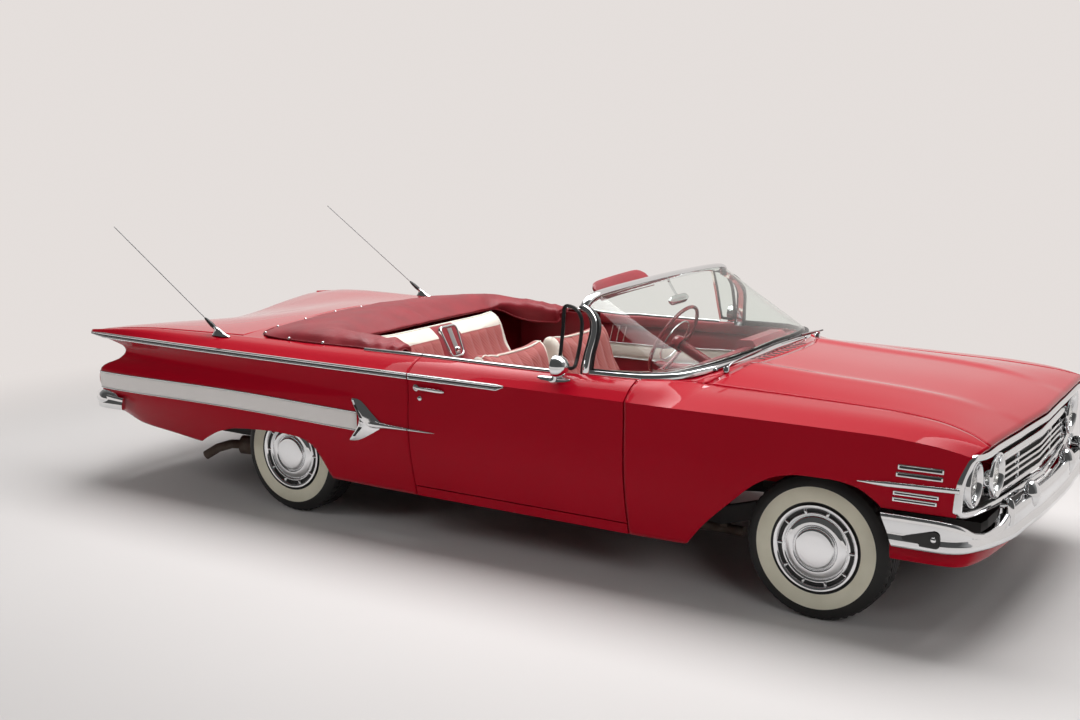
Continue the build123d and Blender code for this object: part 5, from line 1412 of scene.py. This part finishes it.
def cushion_blank(name, profile, y0, y1, material):
    """A closed blank through a side outline, drawn in a little, remeshed into an even net."""
    first = Vector(profile[0]).lerp(Vector(profile[-1]), 0.5)
    outline = [Vector(p) for p in curve([tuple(first), *profile, tuple(first)], 6, 8)][:-1]
    middle = sum(outline, Vector((0, 0))) / len(outline)
    outline = [p + (middle - p).normalized() * START_INSET for p in outline]
    stations = [y0 + START_INSET, y0 + 2 * START_INSET, *spaced(y0 + 40, y1 - 40, 40), y1 - 2 * START_INSET,
                y1 - START_INSET]
    scales = [0.86, 0.97] + [1.0] * (len(stations) - 4) + [0.97, 0.86]
    rings = []
    for y, k in zip(stations, scales):
        spots = [middle + (p - middle) * k for p in outline]
        rings.append([(p.x, y, p.y) for p in spots])
    piece = closed_piece(name, rings, material, 180)
    net = piece.modifiers.new("net", "REMESH")
    net.mode = "VOXEL"
    net.voxel_size = VOXEL * MM
    even = bpy.data.meshes.new_from_object(piece.evaluated_get(bpy.context.evaluated_depsgraph_get()))
    piece.modifiers.clear()
    piece.data = even
    even.polygons.foreach_set("use_smooth", [True] * len(even.polygons))
    return piece


def blow_up(pieces):
    """Swells the blanks together by cloth pressure, without gravity, and keeps how far each point may go."""
    scene = bpy.context.scene
    blanks = [[v.co.copy() for v in piece.data.vertices] for piece in pieces]
    for piece in pieces:
        cloth = piece.modifiers.new("stuffing", "CLOTH")
        cloth.settings.quality = 4
        cloth.settings.use_pressure = True
        cloth.settings.uniform_pressure_force = PRESSURE
        cloth.settings.effector_weights.gravity = 0.0
        cloth.point_cache.frame_start, cloth.point_cache.frame_end = 1, SWELL_FRAMES
    for step in range(1, SWELL_FRAMES + 1):
        scene.frame_set(step)
    graph = bpy.context.evaluated_depsgraph_get()
    grown = [[v.co.copy() for v in piece.evaluated_get(graph).data.vertices] for piece in pieces]
    for piece in pieces:
        piece.modifiers.clear()
    scene.frame_set(1)
    for piece, blank, swollen in zip(pieces, blanks, grown):
        foot = min(p.z for p in blank)
        for vertex, start, end in zip(piece.data.vertices, blank, swollen):
            move = end - start
            if move.length > SWELL_LIMIT * MM:
                move = move.normalized() * SWELL_LIMIT * MM
            vertex.co = start + move
            vertex.co.z = max(vertex.co.z, foot)
        piece.data.update()


def sew(piece, facing, middle, ends, top, back_material, smooth):
    """Presses the pleats into the sitter's side of a cushion and gives its other side plain coated cloth."""
    facing = Vector(facing).normalized()
    for vertex in piece.data.vertices:
        across = abs(vertex.co.y) / MM
        if vertex.normal.dot(facing) < 0.25 or not middle - 4 < across < ends + 4 or vertex.co.z > top * MM:
            continue
        offset = (across - middle) % PLEAT_PITCH
        gap = min(offset, PLEAT_PITCH - offset, abs(across - ends), top - vertex.co.z / MM)
        vertex.co -= facing * CHANNEL_DEPTH * MM * math.exp(-(gap / CHANNEL_HALF) ** 2)
    piece.data.materials.append(back_material)
    for face in piece.data.polygons:
        if face.normal.dot(facing) < -0.35:
            face.material_index = 1
    piece.data.update()
    if smooth:
        fine = piece.modifiers.new("fine", "SUBSURF")
        fine.levels = fine.render_levels = 1


def edge_points(piece, way, y0, y1, step=30):
    """Points of a cushion that lie furthest along a direction at stations across the car."""
    way = Vector(way)
    points = []
    for y in spaced(y0, y1, step):
        near = [v.co for v in piece.data.vertices if abs(v.co.y / MM - y) < 9]
        best = max(near, key=lambda p: p.dot(way))
        points.append((best.x / MM - DATUM, y, best.z / MM))
    return points


FRONT_PANELS, REAR_PANELS, BASE_PANELS = (75, 612, 990), (105, 508, 893), (75, 560, 990)
front_cloth = cover_material("front_cover", *FRONT_PANELS, IVORY)
rear_cloth = cover_material("rear_cover", *REAR_PANELS, (0.235, 0.008, 0.016))
base_cloth = cover_material("cushion_cover", *BASE_PANELS, IVORY)
front_cushion = cushion_blank("front_cushion", FRONT_CUSHION, -660, 660, base_cloth)
front_back_left = cushion_blank("front_back_left", FRONT_BACK, 6, 660, front_cloth)
front_back_right = cushion_blank("front_back_right", FRONT_BACK, -660, -6, front_cloth)
rear_cushion = cushion_blank("rear_cushion", REAR_CUSHION, -590, 590, base_cloth)
rear_back = cushion_blank("rear_back", REAR_BACK, -590, 590, rear_cloth)
cushions = [front_cushion, front_back_left, front_back_right, rear_cushion, rear_back]
blow_up(cushions)
for piece, facing, panels in ((front_cushion, (0, 0, 1), BASE_PANELS),
                              (front_back_left, FRONT_FACING, FRONT_PANELS),
                              (front_back_right, FRONT_FACING, FRONT_PANELS),
                              (rear_cushion, (0, 0, 1), BASE_PANELS),
                              (rear_back, REAR_FACING, REAR_PANELS)):
    sew(piece, facing, *panels, red_vinyl, "back" in piece.name)
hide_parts("front_seat")
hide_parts("rear_seat")
PIPING = [(6 * math.cos(a), 6 * math.sin(a)) for a in turns(10)]
for piece, way, y0, y1 in ((front_back_left, (0.35, 0, 1), 54, 620),
                           (front_back_right, (0.35, 0, 1), -620, -54), (rear_back, (0.1, 0, 1), -560, 560),
                           (front_cushion, (1, 0, 0.7), -630, 630), (rear_cushion, (1, 0, 0.7), -560, 560)):
    path = smooth_path(edge_points(piece, way, y0, y1), 2)
    taper = [min(1, 0.15 + 0.3 * min(k, len(path) - 1 - k)) for k in range(len(path))]
    swept(f"piping_{piece.name}", path, (1, 0, 0), PIPING, ivory_vinyl, taper)

# Seat bases: pressed steel plinths in chassis black, on legs bolted to the floor.
for name, x0, x1, half, low, high in (("front_seat_base", 0, 420, 600, 434, 474),
                                      ("rear_seat_base", -500, -390, 560, 414, 462)):
    path = [((x0 + x1) / 2, y, (low + high) / 2) for y in (-half, -half + 20, 0, half - 20, half)]
    deep, tall = (x1 - x0) / 2, (high - low) / 2
    outline = soft_outline([(-deep, -tall), (-deep, tall), (deep, tall), (deep, -tall)], 2)
    swept(name, path, (1, 0, 0), outline, chassis_black)
for side, hand in SIDES:
    for label, x in (("front", 370), ("rear", 50)):
        rings = [[(x + r * math.cos(a), side * 400 + 1.4 * r * math.sin(a), z) for a in turns(20)]
                 for z, r in ((300, 24), (312, 24), (318, 17), (430, 17), (436, 24))]
        closed_piece(f"seat_leg_{label}_{hand}", rings, chassis_black, 40)

# Rear speaker: a chrome bezel sewn into the middle of the rear back, round a red panel with a ribbed strip
# and a knob.
face_out = Vector(REAR_FACING)
face_up = Vector((-face_out.z, 0, face_out.x))
face_reach = max(v.co.dot(face_out)
                 for v in rear_back.data.vertices if abs(v.co.y) < 0.1) / MM - DATUM * face_out.x
speaker_middle = Vector((-742, 0, 858))
speaker_middle += face_out * (face_reach - 2 - speaker_middle.dot(face_out))


def on_speaker(across, up, out=0.0):
    return tuple(speaker_middle + Vector((0, 1, 0)) * across + face_up * up + face_out * out)


bezel_corners = [(0, 92), (78, 92), (56, -88), (0, -88), (-56, -88), (-78, 92), (0, 92)]


def bezel_ring(share, out):
    """The bezel's outline drawn in to a share of its size, at a distance out."""
    return [on_speaker(a * share, b * share, out) for a, b in curve(bezel_corners, 4, 5)][:-1]


hoop("speaker_bezel", bezel_ring(1, 0), soft_outline([(-8, -9), (6, -8), (10, 0), (6, 8), (-8, 9)]), chrome,
     tuple(face_out))
closed_piece("speaker_panel", [bezel_ring(0.93, -8), bezel_ring(0.93, 3), bezel_ring(0.5, 7)], red_vinyl,
             60)
for k in range(5):
    swept(f"speaker_rib_{k}", [on_speaker(-16 + 8 * k, s, 8) for s in (78, 40, 0, -40, -76)],
          tuple(face_out), soft_outline([(-3, 3), (3, 2.4), (3, -2.4), (-3, -3)], 2), brushed)
rings = [[on_speaker(r * math.cos(a), -52 + r * math.sin(a), d) for a in turns(28)]
         for d, r in ((6, 17), (12, 17), (15, 14), (26, 13), (29, 10), (30, 3))]
closed_piece("speaker_knob", rings, chrome, 40)

# Top boot: one sheet of coated cloth snapped over the folded top behind the rear seat, with arms along both
# sides that hang into the cabin. It is hemmed all round, and creased where it is pulled over the bows.
BOOT_ROWS = [
    [(-470, 752, 920), (-468, 738, 948), (-468, 776, 958), (-470, 815, 955), (-476, 838, 953)],
    [(-480, 716, 902), (-478, 708, 968), (-478, 770, 984), (-480, 822, 976), (-486, 848, 961)],
    [(-580, 690, 896), (-580, 694, 982), (-580, 760, 1000), (-580, 822, 986), (-580, 853, 962)],
    [(-720, 688, 906), (-720, 690, 990), (-720, 760, 1012), (-720, 826, 994), (-720, 858, 961)],
    [(-850, 688, 940), (-852, 684, 992), (-870, 760, 1022), (-880, 830, 1000), (-890, 868, 961)],
    [(-884, 640, 956), (-892, 630, 980), (-980, 730, 1028), (-1080, 832, 1005), (-1120, 872, 961)],
    [(-893, 560, 958), (-902, 540, 978), (-1040, 620, 1032), (-1270, 772, 1001), (-1370, 840, 964)],
    [(-896, 400, 960), (-905, 380, 978), (-1080, 430, 1036), (-1340, 560, 1007), (-1462, 700, 968)],
    [(-896, 240, 960), (-905, 220, 979), (-1090, 250, 1040), (-1350, 330, 1015), (-1482, 470, 977)],
    [(-896, 110, 961), (-905, 100, 979), (-1095, 110, 1042), (-1345, 150, 1023), (-1470, 230, 990)],
    [(-896, 0, 961), (-905, 0, 979), (-1095, 0, 1043), (-1330, 0, 1025), (-1425, 0, 1001)]]
FIRST_SNAP, SNAP_STEP = 38, 9
boot_cloth = surface("boot_cloth", (0.17, 0.006, 0.012), (0.23, 0.01, 0.018), (0.42, 0.58), (7, 700), 0.3,
                     GRAIN, slot="vinyl_red")
half_rows = smooth_path([[value for point in row for value in point] for row in BOOT_ROWS], 9)
whole = [(row, -1) for row in half_rows] + [(row, 1) for row in half_rows[-2::-1]]
boot_grid = []
for i, (row, side) in enumerate(whole):
    place = i / (len(whole) - 1)
    arm = smooth_step((abs(place - 0.5) - 0.28) / 0.12)
    line = smooth_path([(row[k], side * row[k + 1], row[k + 2]) for k in range(0, 15, 3)], 8)
    points = []
    for j, (x, y, z) in enumerate(line):
        s = j / (len(line) - 1)
        hold = min(1.0, 6 * (1 - s), 0.35 + 3 * s)
        fold = (math.sin(64 * place + 5 * s) * 0.5 + math.sin(103 * place - 7 * s + 1.3) * 0.3
                + math.sin(171 * place + 11 * s + 0.4) * 0.2)
        cross = math.sin(17 * s + 9 * place) * 0.5
        crease = sum((1 - abs(math.sin(wave))) ** 2
                     for wave in (78 * place + 6 * s, 61 * place - 9 * s + 0.7))
        lift = hold * ((2.0 + 5.0 * arm) * fold + (1.0 + 2.5 * arm) * cross + (0.8 + 3.2 * arm) * crease)
        points.append((x, y - side * 0.6 * lift * (1 - min(1, 4 * s)), z + lift))
    boot_grid.append(points)
columns = len(boot_grid[0])
boot = new_piece("top_boot_cover", [p for row in boot_grid for p in row],
                 grid_faces(len(boot_grid), columns), boot_cloth)
face_way(boot, (0, 0, 1))
thicken(boot, 2.5, 80)
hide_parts("top_boot")
HEM = [(5 * math.cos(a), 3.4 * math.sin(a)) for a in turns(8)]
hems = [swept(f"boot_hem_{label}", edge, way, HEM, boot_cloth)
        for label, edge, way in (("rear", [row[-1] for row in boot_grid], (0, 0, 1)),
                                 ("front", [row[0] for row in boot_grid], (0, 0, 1)),
                                 ("right", boot_grid[0], (1, 0, 0)), ("left", boot_grid[-1], (1, 0, 0)))]
for k, row in enumerate(boot_grid[FIRST_SNAP:-FIRST_SNAP:SNAP_STEP]):
    spot = Vector(row[-1]).lerp(Vector(row[-4]), 0.3)
    hems.append(stud(f"boot_snap_{k}", spot, (0, 0, 1), ((-2, 8), (4, 8), (7, 6), (8.5, 2)), 16, 50))

# Antennas: a pair of thin steel whips on chromed swivel bases at the rear, raked back together, with a dark
# ferrule on each.
mast_steel = surface("mast_steel", (0.16, 0.16, 0.165), (0.24, 0.24, 0.245), (0.4, 0.5), (12, 300),
                     metallic=0.5)
dress("antennas", mast_steel)
ANTENNA_X, ANTENNA_W, ANTENNA_Z = -1618, 918, 947
ANTENNA_BASE = [(0, -74, 60, 22), (6, -70, 50, 20), (14, -62, 24, 15), (30, -56, -4, 12),
                (46, -66, -34, 10)]
FERRULE = [(11 * math.cos(a), 11 * math.sin(a)) for a in turns(14)]
for side, hand in SIDES:
    rings = []
    for lift, back, front, half in ANTENNA_BASE:
        middle, reach = ANTENNA_X + (back + front) / 2, (front - back) / 2
        rings.append([(middle + reach * math.cos(a), side * (ANTENNA_W + half * math.sin(a)),
                       ANTENNA_Z + lift) for a in turns(28)])
    closed_piece(f"antenna_base_{hand}", rings, chrome, 50)
    foot, tip = Vector((-1672, side * ANTENNA_W, 988)), Vector((-1742, side * ANTENNA_W, 1035))
    swept(f"antenna_ferrule_{hand}", [tuple(foot.lerp(tip, k / 6)) for k in range(7)], (0, 1, 0), FERRULE,
          slot_black, [1, 1.1, 1.1, 1, 0.9, 0.75, 0.5])

# Studio: a pale seamless sweep under and behind the car, with large soft boxes overhead and to the sides,
# and a camera at the photograph's angle. None of it belongs to the car.
SET_FADE = (3.4, 5.6)
SET_MIDDLE = (-0.2, 0.0)
ROOM_COLOUR = (0.78, 0.735, 0.713, 1)
SWEEP_Y = [(-40, 0), (5.2, 0), (6.4, 0.16), (7.3, 0.62), (7.9, 1.5), (8.1, 3.0), (8.2, 14.0)]
sweep_mesh = bpy.data.meshes.new("studio_sweep")
sweep_curve = curve(SWEEP_Y, 6, 8)
sweep_points = [(x, y, z) for y, z in sweep_curve for x in (-60, 60)]
sweep_mesh.from_pydata(sweep_points, [], grid_faces(len(sweep_curve), 2, True))
sweep_mesh.polygons.foreach_set("use_smooth", [True] * len(sweep_mesh.polygons))
sweep = bpy.data.objects.new("studio_sweep", sweep_mesh)
bpy.context.collection.objects.link(sweep)
paper = surface("studio_paper", (0.625, 0.603, 0.594), (0.645, 0.623, 0.614), (0.85, 0.95), (0.4, 60))
tree = paper.node_tree
split = add_node(tree, "SeparateXYZ", Vector=add_node(tree, "TexCoord").outputs["Object"])
off_x = math_node(tree, "SUBTRACT", split.outputs["X"], SET_MIDDLE[0])
off_y = math_node(tree, "SUBTRACT", split.outputs["Y"], SET_MIDDLE[1])
spread = math_node(tree, "MULTIPLY_ADD", off_x, off_x, math_node(tree, "MULTIPLY", off_y, off_y))
far = add_node(tree, "MapRange", Value=math_node(tree, "SQRT", spread, 0), From_Min=SET_FADE[0],
               From_Max=SET_FADE[1])
far.interpolation_type = "SMOOTHSTEP"
ray = add_node(tree, "LightPath").outputs
seen = math_node(tree, "MAXIMUM", ray["Is Camera Ray"], ray["Is Transmission Ray"])
seen = math_node(tree, "MAXIMUM", seen, ray["Is Glossy Ray"])
glow = add_node(tree, "Emission", Color=ROOM_COLOUR)
# Seen from its back the sweep is clear, so that it never hides the car.
shader = tree.nodes["Principled BSDF"].outputs["BSDF"]
for mask, other in ((math_node(tree, "MULTIPLY", seen, far.outputs["Result"]), glow.outputs["Emission"]),
                    (add_node(tree, "NewGeometry").outputs["Backfacing"],
                     add_node(tree, "BsdfTransparent").outputs["BSDF"])):
    mix = add_node(tree, "MixShader", Fac=mask)
    tree.links.new(shader, mix.inputs[1])
    tree.links.new(other, mix.inputs[2])
    shader = mix.outputs["Shader"]
tree.links.new(shader, tree.nodes["Material Output"].inputs["Surface"])
sweep_mesh.materials.append(paper)

# The room is pale behind the car and dim behind the camera, as soft as the boxes overhead are bright.
world = bpy.data.worlds.new("studio_world")
bpy.context.scene.world = world
world.use_nodes = True
sky = world.node_tree
split = add_node(sky, "SeparateXYZ", Vector=add_node(sky, "TexCoord").outputs["Generated"])
ramp = add_node(sky, "ValToRGB", Fac=math_node(sky, "MULTIPLY_ADD", split.outputs["Y"], 0.5))
for element, place, grey in zip(ramp.color_ramp.elements, (0.3, 0.75), (0.078, 0.42)):
    element.position = place
    element.color = (grey, grey * 0.99, grey * 0.98, 1)
seen = add_node(sky, "LightPath").outputs["Is Camera Ray"]
shade = mix_colours(sky, seen, ramp.outputs["Color"], ROOM_COLOUR)
sky.links.new(shade, sky.nodes["Background"].inputs["Color"])

for name, place, target, size, watts in (
        ("overhead", (0.4, 0.6, 5.0), (0.4, 0.2, 0.0), (8.0, 3.4), 500),
        ("front_side", (7.0, -5.0, 4.2), (1.2, 0.0, 0.5), (3.0, 2.4), 120),
        ("rear_side", (-6.5, -5.5, 4.4), (-1.0, 0.0, 0.5), (3.4, 2.4), 120)):
    lamp = bpy.data.lights.new(name, "AREA")
    lamp.shape = "RECTANGLE"
    lamp.size, lamp.size_y = size
    lamp.energy = watts
    box = bpy.data.objects.new(name, lamp)
    box.location = place
    box.rotation_euler = (Vector(target) - Vector(place)).to_track_quat("-Z", "Y").to_euler()
    box.visible_glossy = name == "overhead"
    bpy.context.collection.objects.link(box)

CAMERA_YAW, CAMERA_PITCH = 0.570, 0.186
view_camera = bpy.data.cameras.new("photo_camera")
view_camera.lens = 46.95
view_camera.sensor_width = 36.0
view_camera.sensor_fit = "HORIZONTAL"
camera = bpy.data.objects.new("photo_camera", view_camera)
camera.location = (4.0098, -6.3843, 2.2437)
heading = Vector((-math.sin(CAMERA_YAW) * math.cos(CAMERA_PITCH),
                  math.cos(CAMERA_YAW) * math.cos(CAMERA_PITCH), -math.sin(CAMERA_PITCH)))
camera.rotation_euler = heading.to_track_quat("-Z", "Y").to_euler()
bpy.context.collection.objects.link(camera)
bpy.context.scene.camera = camera
bpy.context.scene.view_settings.view_transform = "Standard"
